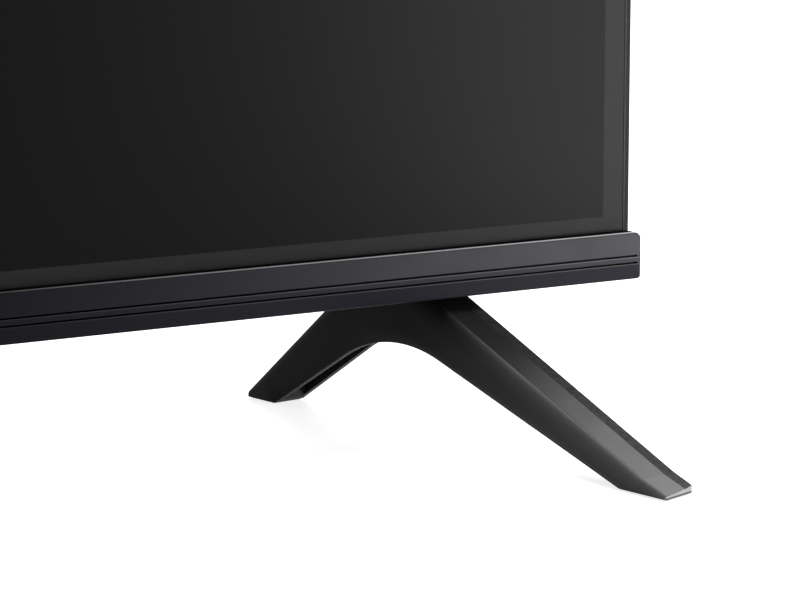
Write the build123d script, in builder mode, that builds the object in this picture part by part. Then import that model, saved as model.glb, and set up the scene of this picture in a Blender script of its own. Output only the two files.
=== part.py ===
"""A 43 inch class flat screen television on two splayed blade feet.

Millimetres, X to the right, Y to the back, Z up. The screen faces -Y. The origin
is on the floor, midway between the sides and midway along the depth of the feet.
"""

from build123d import *
from math import atan2, cos, radians, sin, tan
import os

# Screen
active_width = 941.2
active_height = 529.4
border_side = 8.0
border_above_bar = 5.0
glass_thick = 1.4
glass_chamfer = 0.2
glass_gap = 0.2

# Slim frame round the glass
frame_lip = 2.0
frame_depth = 18.7
frame_proud = 0.2
frame_corner = 2.0
frame_edge = 0.35
frame_inner_chamfer = 0.3
flange_width = 6.5
flange_bottom = 14.5
flange_thick = 2.0
rail_height = 2.0

# Bar below the screen
floor_clearance = 46.9
bar_height = 15.2
bar_step = 5.5
bar_glass_gap = 0.3
bar_overhang = 1.8
bar_wall = 2.0
bar_end_wall = 2.5
bar_shelf_depth = 14.0
bar_shelf_thick = 2.0
lower_face_height = 5.1
band_height = 2.2
lower_face_lean = 0.9
upper_face_lean = 1.1
groove_height = 0.6
groove_depth = 0.9
groove_end = 2.1
bar_top_round = 0.7
bar_bottom_round = 0.4
bar_end_round = 1.8
bar_corner = 3.0
bar_low_corner = 1.8

# Feet
foot_length = 197.6
foot_width = 12.6
foot_splay = 7.25
toe_skew = 10.8
foot_reach_share = 0.4722
foot_inset = 59.6
toe_height = 1.5
toe_length = 10.0
toe_rise = 3.3
ridge_top_share = 0.5563
back_top_share = 0.7026
front_pad_length = 17.0
back_pad_length = 13.3
heel_height = 2.7
arch_peak_share = 0.6297
arch_rise = 34.4
arch_radius = 59.0
far_relief = 1.85
strip_width = 3.3
strip_rise = 0.6
foot_wall = 2.0
foot_skin = 2.6
ridge_round = 0.4
rib_thick = 1.6
pad_thick = 1.0
pad_proud = 0.4
pad_margin = 2.0
pad_gap = 0.05
pad_corner = 1.0
tongue_width = 30.0
tongue_height = 27.0
tongue_front = 29.5
tongue_back = 43.0
tongue_round = 1.5
tongue_gap = 0.3
heel_step = 0.6
rib_shares = (0.18, 0.36, 0.54)
bracket_corner = 2.0

# Backlight
film_thick = 0.3
film_margin = 3.9
diffuser_thick = 1.5
film_bottom = 62.0
guide_gap = 0.3
guide_bottom = 56.5
tray_sheet = 0.8
tray_depth = 16.0
tray_flange_gap = 0.8
tray_mouth_inset = 15.2
tray_slope_run = 18.0
reflector_sheet_thick = 0.4
strip_count = 4
strip_length = 860.0
strip_height = 14.0
strip_thick = 1.0
lens_count = 9
lens_pitch = 98.0
lens_radius = 7.5
lens_height = 4.2
lens_round = 2.0
lens_hole_gap = 0.7
post_radius = 5.0
post_tip_radius = 1.5

# Rear cover
cover_inset = 0.6
cover_wall = 2.2
cover_back = 31.5
cover_round = 4.0
skirt_inset = 23.2
skirt_taper = 24.0
skirt_back = 45.5
skirt_top = 110.0
skirt_back_top = 92.0
bulge_half_width = 430.0
bulge_low = 72.0
bulge_high = 402.0
bulge_taper_side = 45.0
bulge_taper_low = 40.0
bulge_taper_high = 50.0
bulge_back = 79.0
bulge_corner = 18.0
bulge_round = 6.0
port_floor = 52.0
port_left = 150.0
port_right = 330.0
port_low = 60.0
port_high = 232.0
mains_left = -345.0
mains_right = -265.0
mains_high = 150.0
vent_width = 3.2
vent_height = 15.0
vent_pitch = 7.6
vent_rows = 2
vent_row_pitch = 21.0
vent_count = 44
vent_centre_z = 366.0
grille_slot_width = 1.8
grille_slot_depth = 9.0
grille_pitch = 4.4
grille_count = 20

# Wall mount
vesa_pitch = 200.0
vesa_centre_z = 235.0
vesa_bore = 3.0
vesa_depth = 14.0
standoff_radius = 7.0
standoff_foot_radius = 11.0
standoff_foot_thick = 2.0
standoff_gap = 0.5

# Boards
board_thick = 1.6
board_lift = 6.0
board_stand_radius = 3.0
main_left = 118.0
main_right = 336.0
main_low = 134.0
main_high = 300.0
power_left = -336.0
power_right = -118.0
power_low = 156.0
power_high = 330.0
board_hole_inset = 6.0
source_half_width = 330.0
source_low = 92.0
source_high = 112.0
source_thick = 1.2
film_count = 6
film_pitch = 110.0
film_strip_width = 40.0
film_strip_thick = 0.3
film_bend = 1.5

# Screws
screw_shank = 1.45
screw_hole = 1.5
screw_head = 2.9
screw_head_thick = 1.8
drive_radius = 1.1
drive_depth = 0.9
boss_radius = 3.4
cover_depth_reach = 9.0
bar_screw_shank = 1.15
bar_screw_hole = 1.2
bar_screw_head = 2.2
bar_screw_length = 5.6
bar_screw_head_drop = 1.0
foot_screw_shank = 1.95
foot_screw_hole = 2.0
foot_screw_head = 3.8
foot_screw_head_thick = 2.6
foot_screw_pitch = 13.0
foot_screw_low = 58.0

# Speakers
speaker_left = 236.0
speaker_right = 356.0
speaker_high = 98.0
speaker_wall = 1.6
speaker_gap = 0.3
cone_radius = 5.0
cone_length = 40.0
basket_height = 7.0

# Sensor pod and power key under the bar's middle
pod_half_width = 24.0
pod_front = 3.0
pod_back = 13.5
pod_height = 6.0
pod_wall = 1.2
pod_round = 1.0
key_radius = 3.2
key_gap = 0.1
key_proud = 0.5
key_travel = 0.6
key_flange_radius = 3.9
key_flange_thick = 0.7
key_top_gap = 0.1
key_offset_x = 12.0
sensor_board_thick = 0.8
switch_side = 4.6
switch_height = 0.6
lens_window_half = 7.0
lens_window_offset = -10.0

overrun = 5.0
arc_share = 0.45


def turned(angle):
    """Cosine and sine of an angle in degrees."""
    return cos(radians(angle)), sin(radians(angle))


splay_cos, splay_sin = turned(foot_splay)
foot_reach = foot_reach_share * foot_length
stand_depth = foot_length * splay_cos + foot_width * splay_sin
front_y = foot_reach - stand_depth / 2

half_width = active_width / 2 + border_side + frame_lip
bar_half = half_width + bar_overhang
bar_low = floor_clearance
bar_top = bar_low + bar_height
groove_low = bar_low + lower_face_height
groove_high = groove_low + band_height
body_low = bar_low + bar_shelf_thick
body_top = bar_top + border_above_bar + active_height + border_side + frame_lip

glass_front = front_y + bar_step
glass_back = glass_front + glass_thick
glass_half = half_width - frame_lip - glass_gap
glass_low = body_low + rail_height + 2 * film_strip_thick + glass_gap
glass_top = body_top - frame_lip - glass_gap
tape_thick = 0.5
flange_front = glass_back + tape_thick
flange_back = flange_front + flange_thick
frame_front = glass_front - frame_proud
frame_back = frame_front + frame_depth

film_half = active_width / 2 + film_margin
film_top = body_top - frame_lip - glass_gap - film_margin
plate_front = flange_back + 2 * film_thick
plate_back = plate_front + diffuser_thick
tray_front = plate_back
tray_back = tray_front + tray_depth
tray_floor = tray_back - tray_sheet
tray_half = half_width - frame_lip - tray_flange_gap
tray_top = body_top - frame_lip - tray_flange_gap
mouth_half = tray_half - tray_mouth_inset
mouth_low = guide_bottom + tray_mouth_inset
mouth_top = tray_top - tray_mouth_inset
floor_low = mouth_low + tray_slope_run
floor_top = mouth_top - tray_slope_run
strip_front = tray_floor - strip_thick
reflector_front = strip_front - reflector_sheet_thick

cover_half = half_width - cover_inset
cover_top = body_top - cover_inset
skirt_half_width = half_width - skirt_inset
slab_back = front_y + cover_back
skirt_outer = front_y + skirt_back
bulge_outer = front_y + bulge_back
port_outer = front_y + port_floor
board_front = tray_back + board_lift
board_back = board_front + board_thick


def block(x_low, x_high, y_low, y_high, z_low, z_high, mode=Mode.ADD):
    """A straight box between six faces."""
    middle = ((x_low + x_high) / 2, (y_low + y_high) / 2, (z_low + z_high) / 2)
    with Locations(middle):
        Box(x_high - x_low, y_high - y_low, z_high - z_low, mode=mode)


def rod_y(x, z, y_low, y_high, radius, mode=Mode.ADD, end_radius=None):
    """A round rod, or a cone, that runs to the back."""
    with Locations(Location((x, y_low, z), (-90, 0, 0))):
        base = (Align.CENTER, Align.CENTER, Align.MIN)
        if end_radius is None:
            Cylinder(radius, y_high - y_low, align=base, mode=mode)
        else:
            Cone(radius, end_radius, y_high - y_low, align=base, mode=mode)


def rod_z(x, y, z_low, z_high, radius, mode=Mode.ADD, end_radius=None):
    """A round rod, or a cone, that stands up."""
    with Locations((x, y, z_low)):
        base = (Align.CENTER, Align.CENTER, Align.MIN)
        if end_radius is None:
            Cylinder(radius, z_high - z_low, align=base, mode=mode)
        else:
            Cone(radius, end_radius, z_high - z_low, align=base, mode=mode)


def upright(y):
    """The vertical plane at depth y, with X to the right and Z up."""
    return Plane(origin=(0, y, 0), x_dir=(1, 0, 0), z_dir=(0, -1, 0))


def upright_rectangle(y, half, z_low, z_high, corner=0):
    """A rectangle on the vertical plane at depth y."""
    with BuildSketch(upright(y)) as outline:
        with Locations((0, (z_low + z_high) / 2)):
            if corner:
                RectangleRounded(2 * half, z_high - z_low, corner)
            else:
                Rectangle(2 * half, z_high - z_low)
    return outline.sketch


def save(piece, name):
    """Name a finished piece and write it."""
    piece.label = name
    export_step(piece, f"parts/{name}.step")


os.makedirs("parts", exist_ok=True)

# Screen cell
with BuildPart() as lcd_cell:
    block(-glass_half, glass_half, glass_front, glass_back, glass_low, glass_top)
    chamfer(lcd_cell.faces().sort_by(Axis.Y)[0].edges(), glass_chamfer)
save(lcd_cell.part, "lcd_cell")

# Foam tape that holds the cell on the frame's shelf
with BuildPart() as cell_tape:
    inner_half = half_width - frame_lip - flange_width
    block(-glass_half, glass_half, glass_back, flange_front,
          bar_top - bar_wall, glass_top)
    block(-inner_half, inner_half, glass_back, flange_front,
          body_low + rail_height + flange_bottom, body_top - frame_lip - flange_width,
          mode=Mode.SUBTRACT)
save(cell_tape.part, "cell_tape")

# Where the cover's screws go, round the frame
side_boss_x = cover_half - cover_wall - guide_gap - boss_radius
top_boss_z = cover_top - cover_wall - guide_gap - boss_radius
side_span = body_top - body_low
side_shares = (0.16, 0.36, 0.56, 0.76, 0.96)
top_shares = (-0.75, -0.25, 0.25, 0.75)
cover_screw_spots = [(side * side_boss_x, body_low + share * side_span)
                     for share in side_shares for side in (-1, 1)]
cover_screw_spots += [(share * half_width, top_boss_z) for share in top_shares]
boss_front = tray_front + tray_sheet + guide_gap
cover_inner_back = slab_back - cover_wall

# Where the bar's screws and the cell's flexible strips go
bar_screw_y = front_y + (flange_back - front_y + bar_shelf_depth) / 2
bar_screw_pitch = film_pitch
bar_screw_xs = [bar_screw_pitch * step for step in (-4, -3, -2, -1, 1, 2, 3, 4)]
flex_xs = [film_pitch * (index - (film_count - 1) / 2) for index in range(film_count)]
flex_slot_half = film_strip_width / 2 + bar_wall

# Where the sensor's lead rises through the frame
cable_exit_x = -key_offset_x
sensor_lead_radius = 0.9
sensor_lead_y = front_y + bar_shelf_depth + 4.0

# Frame, with the shelf behind the glass and the bosses for the cover
with BuildPart() as bezel_frame:
    block(-half_width, half_width, frame_front, frame_back, body_low, body_top)
    fillet(bezel_frame.edges().filter_by(Axis.Y).sort_by(Axis.Z)[-2:], frame_corner)
    fillet(bezel_frame.faces().sort_by(Axis.Y)[0].edges(), frame_edge)
    wall_half = half_width - frame_lip
    block(-wall_half, wall_half, frame_front - overrun, frame_back + overrun,
          body_low + rail_height, body_top - frame_lip, mode=Mode.SUBTRACT)
    chamfer(bezel_frame.faces().sort_by(Axis.Y)[0].inner_wires().edges(), frame_inner_chamfer)
    block(-wall_half, wall_half, flange_front, flange_back,
          body_low + rail_height, body_top - frame_lip)
    block(-inner_half, inner_half, flange_front, flange_back,
          body_low + rail_height + flange_bottom, body_top - frame_lip - flange_width,
          mode=Mode.SUBTRACT)
    for x, z in cover_screw_spots:
        rod_y(x, z, boss_front, cover_inner_back, boss_radius)
        if z == top_boss_z:
            block(x - boss_radius / 2, x + boss_radius / 2, boss_front, frame_back,
                  z, body_top - frame_lip)
        else:
            side = 1 if x > 0 else -1
            block(min(x, side * wall_half), max(x, side * wall_half), boss_front, frame_back,
                  z - boss_radius / 2, z + boss_radius / 2)
    for x, z in cover_screw_spots:
        rod_y(x, z, boss_front - overrun, cover_inner_back, screw_hole, mode=Mode.SUBTRACT)
    for x in bar_screw_xs:
        rod_z(x, bar_screw_y, body_low, body_low + rail_height, bar_screw_hole,
              mode=Mode.SUBTRACT)
    rod_z(cable_exit_x, sensor_lead_y, body_low, body_low + rail_height,
          sensor_lead_radius + bar_screw_hole / 2, mode=Mode.SUBTRACT)
    for x in flex_xs:
        block(x - flex_slot_half, x + flex_slot_half, flange_front, flange_back,
              body_low + rail_height, glass_low + film_strip_thick, mode=Mode.SUBTRACT)
save(bezel_frame.part, "bezel_frame")

# Places of the feet
toe_x = half_width - foot_inset
toe_y = front_y - foot_reach
foot_plane = Plane(origin=(toe_x, toe_y, 0), x_dir=(-splay_sin, splay_cos, 0),
                   z_dir=(splay_cos, splay_sin, 0))
tongue_y_front = front_y + tongue_front
tongue_y_back = front_y + tongue_back
tongue_mid_y = (tongue_y_front + tongue_y_back) / 2
tongue_run = (tongue_mid_y - toe_y - splay_sin * foot_width / 2) / splay_cos
tongue_x = toe_x - splay_sin * tongue_run + splay_cos * foot_width / 2
tongue_half = tongue_width / 2
tongue_top = body_low + tongue_height
foot_screw_zs = (foot_screw_low, foot_screw_low + foot_screw_pitch)
shelf_notch_half = tongue_half + overrun

# Bar below the screen
with BuildPart() as bottom_bar:
    bar_rear = glass_front - bar_glass_gap
    with BuildSketch(Plane.YZ.offset(-bar_half)) as bar_section:
        with BuildLine():
            Polyline(
                (front_y + lower_face_lean, bar_low),
                (front_y, groove_low),
                (front_y, groove_high),
                (front_y + upper_face_lean, bar_top),
                (bar_rear, bar_top),
                (bar_rear, bar_low),
                close=True,
            )
        make_face()
        fillet(bar_section.vertices().sort_by(Axis.Y)[-2:].sort_by(Axis.X)[0], bar_top_round)
        fillet(bar_section.vertices().sort_by(Axis.Y)[:2].sort_by(Axis.X)[0], bar_bottom_round)
    extrude(amount=2 * bar_half)
    with BuildSketch(upright(front_y - overrun)) as bar_outline:
        with Locations((0, (bar_low + bar_top) / 2)):
            Rectangle(2 * bar_half, bar_height)
        fillet(bar_outline.vertices().sort_by(Axis.Y)[-2:], bar_corner)
        fillet(bar_outline.vertices().sort_by(Axis.Y)[:2], bar_low_corner)
    extrude(amount=-(bar_step + 2 * overrun), mode=Mode.INTERSECT)
    with BuildSketch(Plane.XY.offset(bar_low - overrun)) as bar_plan:
        with Locations((0, (front_y + bar_rear) / 2)):
            Rectangle(2 * bar_half, bar_rear - front_y)
        fillet(bar_plan.vertices().group_by(Axis.Y)[0], bar_end_round)
    extrude(amount=bar_height + 2 * overrun, mode=Mode.INTERSECT)
    block(-bar_half + bar_end_wall, bar_half - bar_end_wall, front_y + bar_wall + upper_face_lean,
          bar_rear, body_low, bar_top - bar_wall, mode=Mode.SUBTRACT)
    shelf_half = bar_half - bar_end_wall
    block(-shelf_half, shelf_half, bar_rear, front_y + bar_shelf_depth, bar_low, body_low)
    for side in (-1, 1):
        block(side * tongue_x - shelf_notch_half, side * tongue_x + shelf_notch_half,
              bar_rear, front_y + bar_shelf_depth, bar_low, body_low, mode=Mode.SUBTRACT)
    for z in (groove_low, groove_high):
        block(-bar_half + groove_end, bar_half - groove_end, front_y - overrun,
              front_y + groove_depth, z, z + groove_height, mode=Mode.SUBTRACT)
    for x in bar_screw_xs:
        rod_z(x, bar_screw_y, bar_low, body_low, bar_screw_hole, mode=Mode.SUBTRACT)
        rod_z(x, bar_screw_y, bar_low, bar_low + bar_screw_head_drop,
              bar_screw_head + bar_screw_hole - bar_screw_shank,
              mode=Mode.SUBTRACT, end_radius=bar_screw_hole)
save(bottom_bar.part, "bottom_bar")

# Countersunk screws that hold the bar to the frame
with BuildPart() as bar_screws:
    for x in bar_screw_xs:
        rod_z(x, bar_screw_y, bar_low, bar_low + bar_screw_head_drop, bar_screw_head,
              end_radius=bar_screw_shank)
        rod_z(x, bar_screw_y, bar_low, bar_low + bar_screw_length, bar_screw_shank)
        rod_z(x, bar_screw_y, bar_low, bar_low + bar_screw_head_drop / 2, bar_screw_shank / 2,
              mode=Mode.SUBTRACT)
save(bar_screws.part, "bar_screws")

# Films and plate that spread the light
with BuildPart() as prism_film:
    block(-film_half, film_half, flange_back, flange_back + film_thick, film_bottom, film_top)
save(prism_film.part, "prism_film")

with BuildPart() as diffuser_film:
    block(-film_half, film_half, flange_back + film_thick, plate_front, film_bottom, film_top)
save(diffuser_film.part, "diffuser_film")

with BuildPart() as diffuser_plate:
    block(-film_half, film_half, plate_front, plate_back, film_bottom, film_top)
save(diffuser_plate.part, "diffuser_plate")

# Guide round the films
with BuildPart() as film_guide:
    block(-tray_half, tray_half, flange_back, plate_back, guide_bottom, tray_top)
    block(-film_half - guide_gap, film_half + guide_gap, flange_back, plate_back,
          film_bottom - guide_gap, film_top + guide_gap, mode=Mode.SUBTRACT)
save(film_guide.part, "film_guide")


def dish(y_mouth, y_floor, inset):
    """A rectangular dish, drawn in by inset from the tray's own outline."""
    faces = []
    for y in (y_mouth, y_floor):
        drawn_in = inset + tray_slope_run * (y - tray_front) / tray_depth
        faces.append(upright_rectangle(y, mouth_half - drawn_in, mouth_low + drawn_in,
                                       mouth_top - drawn_in).face())
    loft(faces)


# Screw places on the tray
main_spots = [(x, z) for x in (main_left + board_hole_inset, main_right - board_hole_inset)
              for z in (main_low + board_hole_inset, main_high - board_hole_inset)]
power_spots = [(x, z) for x in (power_left + board_hole_inset, power_right - board_hole_inset)
               for z in (power_low + board_hole_inset, power_high - board_hole_inset)]
wifi_left = main_right + 16.0
wifi_width = 30.0
wifi_height = 18.0
wifi_low = 240.0
wifi_spots = [(wifi_left + share * wifi_width, wifi_low + wifi_height / 2)
              for share in (0.12, 0.88)]
bracket_half = 16.0
bracket_low = 53.0
bracket_high = 130.0
bracket_spots = [(side * tongue_x, z) for side in (-1, 1)
                 for z in (bracket_high - 22.0, bracket_high - 8.0)]
vesa_spots = [(x_side * vesa_pitch / 2, vesa_centre_z + z_side * vesa_pitch / 2)
              for x_side in (-1, 1) for z_side in (-1, 1)]
led_lead_x = power_left + 70.0
led_lead_z = power_high + 22.0
led_lead_radius = 1.6

# Steel tray behind the films
with BuildPart() as backlight_tray:
    dish(tray_front, tray_back, 0)
    with BuildPart(mode=Mode.PRIVATE) as tray_hollow:
        dish(tray_front, tray_floor, tray_sheet)
    add(tray_hollow.part, mode=Mode.SUBTRACT)
    with BuildPart(mode=Mode.PRIVATE) as tray_rim:
        block(-tray_half, tray_half, tray_front, tray_front + tray_sheet, guide_bottom, tray_top)
        block(-mouth_half + tray_sheet, mouth_half - tray_sheet, tray_front,
              tray_front + tray_sheet, mouth_low + tray_sheet, mouth_top - tray_sheet,
              mode=Mode.SUBTRACT)
    add(tray_rim.part)
    for x, z in bracket_spots:
        rod_y(x, z, tray_floor, tray_back, screw_hole, mode=Mode.SUBTRACT)
    rod_y(led_lead_x, led_lead_z, tray_floor, tray_back, led_lead_radius + guide_gap,
          mode=Mode.SUBTRACT)
save(backlight_tray.part, "backlight_tray")

# Light strips, their lenses, the white sheet round them and the posts
strip_zs = [floor_low + (floor_top - floor_low) * (index + 0.5) / strip_count
            for index in range(strip_count)]
lens_xs = [lens_pitch * (index - (lens_count - 1) / 2) for index in range(lens_count)]
lens_spots = [(x, z) for x in lens_xs for z in strip_zs]

with BuildPart() as light_strips:
    for z in strip_zs:
        block(-strip_length / 2, strip_length / 2, strip_front, tray_floor,
              z - strip_height / 2, z + strip_height / 2)
save(light_strips.part, "light_strips")

with BuildPart() as light_lenses:
    for x, z in lens_spots:
        rod_y(x, z, strip_front - lens_height, strip_front, lens_radius - lens_round,
              end_radius=lens_radius)
save(light_lenses.part, "light_lenses")

with BuildPart() as reflector_sheet:
    sheet_inset = tray_sheet + guide_gap
    dish(tray_front + tray_sheet, strip_front, sheet_inset)
    with BuildPart(mode=Mode.PRIVATE) as sheet_hollow:
        dish(tray_front + tray_sheet, reflector_front, sheet_inset + reflector_sheet_thick)
    add(sheet_hollow.part, mode=Mode.SUBTRACT)
    for x, z in lens_spots:
        rod_y(x, z, reflector_front, strip_front, lens_radius + lens_hole_gap,
              mode=Mode.SUBTRACT)
save(reflector_sheet.part, "reflector_sheet")

post_xs = [lens_pitch * step for step in (-2.5, 0.5, 2.5)]
post_zs = [(strip_zs[0] + strip_zs[1]) / 2, (strip_zs[2] + strip_zs[3]) / 2]
with BuildPart() as diffuser_posts:
    for x in post_xs:
        for z in post_zs:
            rod_y(x, z, plate_back + guide_gap, reflector_front, post_tip_radius,
                  end_radius=post_radius)
save(diffuser_posts.part, "diffuser_posts")

# Driver board of the cell and its flexible strips
source_front = tray_back
source_back = source_front + source_thick
flex_back = source_front + guide_gap
with BuildPart() as source_board:
    block(-source_half_width, source_half_width, source_front, source_back,
          source_low, source_high)
save(source_board.part, "source_board")

with BuildPart() as cell_flexes:
    for x in flex_xs:
        with BuildSketch(Plane.YZ.offset(x - film_strip_width / 2)):
            with BuildLine():
                outer = flex_back + film_strip_thick
                Line((glass_front, glass_low), (glass_front, glass_low - film_strip_thick))
                Line((glass_front, glass_low - film_strip_thick),
                     (outer - film_bend, glass_low - film_strip_thick))
                Line((glass_front, glass_low), (outer - film_bend, glass_low))
                RadiusArc((outer - film_bend, glass_low - film_strip_thick),
                          (outer, glass_low - film_strip_thick + film_bend), -film_bend)
                RadiusArc((outer - film_bend, glass_low),
                          (flex_back, glass_low - film_strip_thick + film_bend),
                          -(film_bend - film_strip_thick))
                Line((outer, glass_low - film_strip_thick + film_bend), (outer, source_low))
                Line((flex_back, glass_low - film_strip_thick + film_bend),
                     (flex_back, source_low))
                Line((flex_back, source_low), (outer, source_low))
            make_face()
        extrude(amount=film_strip_width)
save(cell_flexes.part, "cell_flexes")

# Posts under the boards
with BuildPart() as board_posts:
    for x, z in main_spots + power_spots + wifi_spots:
        rod_y(x, z, tray_back, board_front, board_stand_radius)
        rod_y(x, z, tray_back, board_front, screw_hole, mode=Mode.SUBTRACT)
save(board_posts.part, "board_posts")


def circuit_board(x_low, x_high, z_low, z_high, spots):
    """A bare board with its screw holes."""
    block(x_low, x_high, board_front, board_back, z_low, z_high)
    for x, z in spots:
        rod_y(x, z, board_front, board_back, screw_hole, mode=Mode.SUBTRACT)


with BuildPart() as main_board:
    circuit_board(main_left, main_right, main_low, main_high, main_spots)
save(main_board.part, "main_board")

with BuildPart() as power_board:
    circuit_board(power_left, power_right, power_low, power_high, power_spots)
save(power_board.part, "power_board")

with BuildPart() as wifi_module:
    circuit_board(wifi_left, wifi_left + wifi_width, wifi_low, wifi_low + wifi_height,
                  wifi_spots)
    block(wifi_left + wifi_width / 4, wifi_left + 3 * wifi_width / 4, board_back,
          board_back + board_thick, wifi_low + wifi_height / 4, wifi_low + 3 * wifi_height / 4)
save(wifi_module.part, "wifi_module")

# Screws that hold the boards and the foot brackets to the tray
with BuildPart() as chassis_screws:
    for x, z in main_spots + power_spots + wifi_spots:
        rod_y(x, z, tray_back + board_lift / 6, board_back, screw_shank)
        rod_y(x, z, board_back, board_back + screw_head_thick, screw_head)
        rod_y(x, z, board_back + screw_head_thick - drive_depth,
              board_back + screw_head_thick, drive_radius, mode=Mode.SUBTRACT)
    for x, z in bracket_spots:
        rod_y(x, z, tray_floor, tongue_y_front, screw_shank)
        rod_y(x, z, tongue_y_front, tongue_y_front + screw_head_thick, screw_head)
        rod_y(x, z, tongue_y_front + screw_head_thick - drive_depth,
              tongue_y_front + screw_head_thick, drive_radius, mode=Mode.SUBTRACT)
save(chassis_screws.part, "chassis_screws")

# Chips and heat sink on the main board
chip_thick = 1.2
main_chip_side = 28.0
main_chip_x = main_left + 62.0
main_chip_z = main_high - 40.0
memory_side = 10.0
memory_pitch = 16.0
with BuildPart() as main_chips:
    block(main_chip_x - main_chip_side / 2, main_chip_x + main_chip_side / 2, board_back,
          board_back + chip_thick, main_chip_z - main_chip_side / 2,
          main_chip_z + main_chip_side / 2)
    for step in (-1.5, -0.5, 0.5, 1.5):
        x = main_chip_x + 2 * main_chip_side
        z = main_chip_z + step * memory_pitch
        block(x - memory_side / 2, x + memory_side / 2, board_back, board_back + chip_thick,
              z - memory_side / 2, z + memory_side / 2)
save(main_chips.part, "main_chips")

sink_side = 44.0
sink_base = 2.0
sink_height = 14.0
fin_thick = 1.4
fin_count = 9
with BuildPart() as heat_sink:
    sink_front = board_back + chip_thick
    block(main_chip_x - sink_side / 2, main_chip_x + sink_side / 2, sink_front,
          sink_front + sink_base, main_chip_z - sink_side / 2, main_chip_z + sink_side / 2)
    for index in range(fin_count):
        x = main_chip_x + (sink_side - fin_thick) * (index / (fin_count - 1) - 0.5)
        block(x - fin_thick / 2, x + fin_thick / 2, sink_front + sink_base,
              sink_front + sink_height, main_chip_z - sink_side / 2,
              main_chip_z + sink_side / 2)
save(heat_sink.part, "heat_sink")

# Sockets on the main board
port_mouth = port_outer + guide_gap
port_z = main_low + 72.0
port_pitch = 25.0
port_first_x = port_left + 20.0
shell_thick = 0.5
hdmi_xs = (port_first_x, port_first_x + port_pitch)
usb_x = port_first_x + 2 * port_pitch
lan_x = port_first_x + 3 * port_pitch
jack_x = port_first_x + 4 * port_pitch
antenna_x = port_first_x + 5 * port_pitch
hdmi_width = 15.0
hdmi_height = 5.6
usb_width = 13.2
usb_height = 5.7
lan_width = 16.0
lan_height = 13.6
lan_mouth_width = 11.8
lan_mouth_height = 8.4
lan_mouth_depth = 12.0
jack_side = 10.0
jack_hole = 1.8
antenna_body = 15.0
antenna_radius = 4.7
antenna_hole = 1.0
antenna_length = 9.0
socket_depth = 11.0
tongue_thick = 1.4
port_gap = 0.4


def shell_socket(x, width, height):
    """A metal socket with its contact blade."""
    block(x - width / 2, x + width / 2, board_back, port_mouth,
          port_z - height / 2, port_z + height / 2)
    block(x - width / 2 + shell_thick, x + width / 2 - shell_thick,
          port_mouth - socket_depth, port_mouth, port_z - height / 2 + shell_thick,
          port_z + height / 2 - shell_thick, mode=Mode.SUBTRACT)
    block(x - width / 3, x + width / 3, port_mouth - socket_depth, port_mouth - shell_thick,
          port_z - tongue_thick / 2, port_z + tongue_thick / 2)


with BuildPart() as hdmi_sockets:
    for x in hdmi_xs:
        shell_socket(x, hdmi_width, hdmi_height)
save(hdmi_sockets.part, "hdmi_sockets")

with BuildPart() as usb_socket:
    shell_socket(usb_x, usb_width, usb_height)
save(usb_socket.part, "usb_socket")

with BuildPart() as lan_socket:
    block(lan_x - lan_width / 2, lan_x + lan_width / 2, board_back, port_mouth,
          port_z - lan_height / 2, port_z + lan_height / 2)
    block(lan_x - lan_mouth_width / 2, lan_x + lan_mouth_width / 2,
          port_mouth - lan_mouth_depth, port_mouth, port_z - lan_mouth_height / 2,
          port_z + lan_mouth_height / 2, mode=Mode.SUBTRACT)
save(lan_socket.part, "lan_socket")

with BuildPart() as av_jack:
    block(jack_x - jack_side / 2, jack_x + jack_side / 2, board_back, port_mouth,
          port_z - jack_side / 2, port_z + jack_side / 2)
    rod_y(jack_x, port_z, port_mouth - socket_depth, port_mouth, jack_hole,
          mode=Mode.SUBTRACT)
save(av_jack.part, "av_jack")

with BuildPart() as antenna_socket:
    block(antenna_x - antenna_body / 2, antenna_x + antenna_body / 2, board_back,
          port_outer - cover_wall - port_gap, port_z - antenna_body / 2,
          port_z + antenna_body / 2)
    rod_y(antenna_x, port_z, board_back, port_outer + antenna_length, antenna_radius)
    rod_y(antenna_x, port_z, port_outer, port_outer + antenna_length, antenna_hole,
          mode=Mode.SUBTRACT)
save(antenna_socket.part, "antenna_socket")

# Parts on the power board
coil_width = 36.0
coil_height = 30.0
coil_depth = 24.0
coil_x = power_left + 118.0
coil_z = power_low + 96.0
bobbin_margin = 4.0
with BuildPart() as transformer:
    block(coil_x - coil_width / 2, coil_x + coil_width / 2, board_back,
          board_back + coil_depth, coil_z - coil_height / 2 + bobbin_margin,
          coil_z + coil_height / 2 - bobbin_margin)
    block(coil_x - coil_width / 3, coil_x + coil_width / 3, board_back + bobbin_margin / 2,
          board_back + coil_depth - bobbin_margin / 2, coil_z - coil_height / 2,
          coil_z + coil_height / 2)
save(transformer.part, "transformer")

big_cap_radius = 9.0
big_cap_height = 27.0
small_cap_radius = 5.0
small_cap_height = 20.0
big_cap_spots = [(power_left + 52.0, power_low + 84.0), (power_left + 52.0, power_low + 108.0)]
small_cap_spots = [(power_right - 30.0, power_low + 40.0 + 14.0 * step) for step in range(5)]
with BuildPart() as capacitors:
    for x, z in big_cap_spots:
        rod_y(x, z, board_back, board_back + big_cap_height, big_cap_radius)
    for x, z in small_cap_spots:
        rod_y(x, z, board_back, board_back + small_cap_height, small_cap_radius)
save(capacitors.part, "capacitors")

power_sink_width = 46.0
power_sink_height = 22.0
power_sink_thick = 3.0
power_sink_spots = [(power_left + 60.0, power_low + 140.0), (coil_x + 46.0, power_low + 140.0)]
with BuildPart() as power_sinks:
    for x, z in power_sink_spots:
        block(x - power_sink_width / 2, x + power_sink_width / 2, board_back,
              board_back + power_sink_height, z, z + power_sink_thick)
        for share in (-0.4, -0.2, 0, 0.2, 0.4):
            fin_x = x + share * power_sink_width
            block(fin_x - fin_thick / 2, fin_x + fin_thick / 2, board_back + fin_thick,
                  board_back + power_sink_height, z - 2 * power_sink_thick, z)
save(power_sinks.part, "power_sinks")

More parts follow.
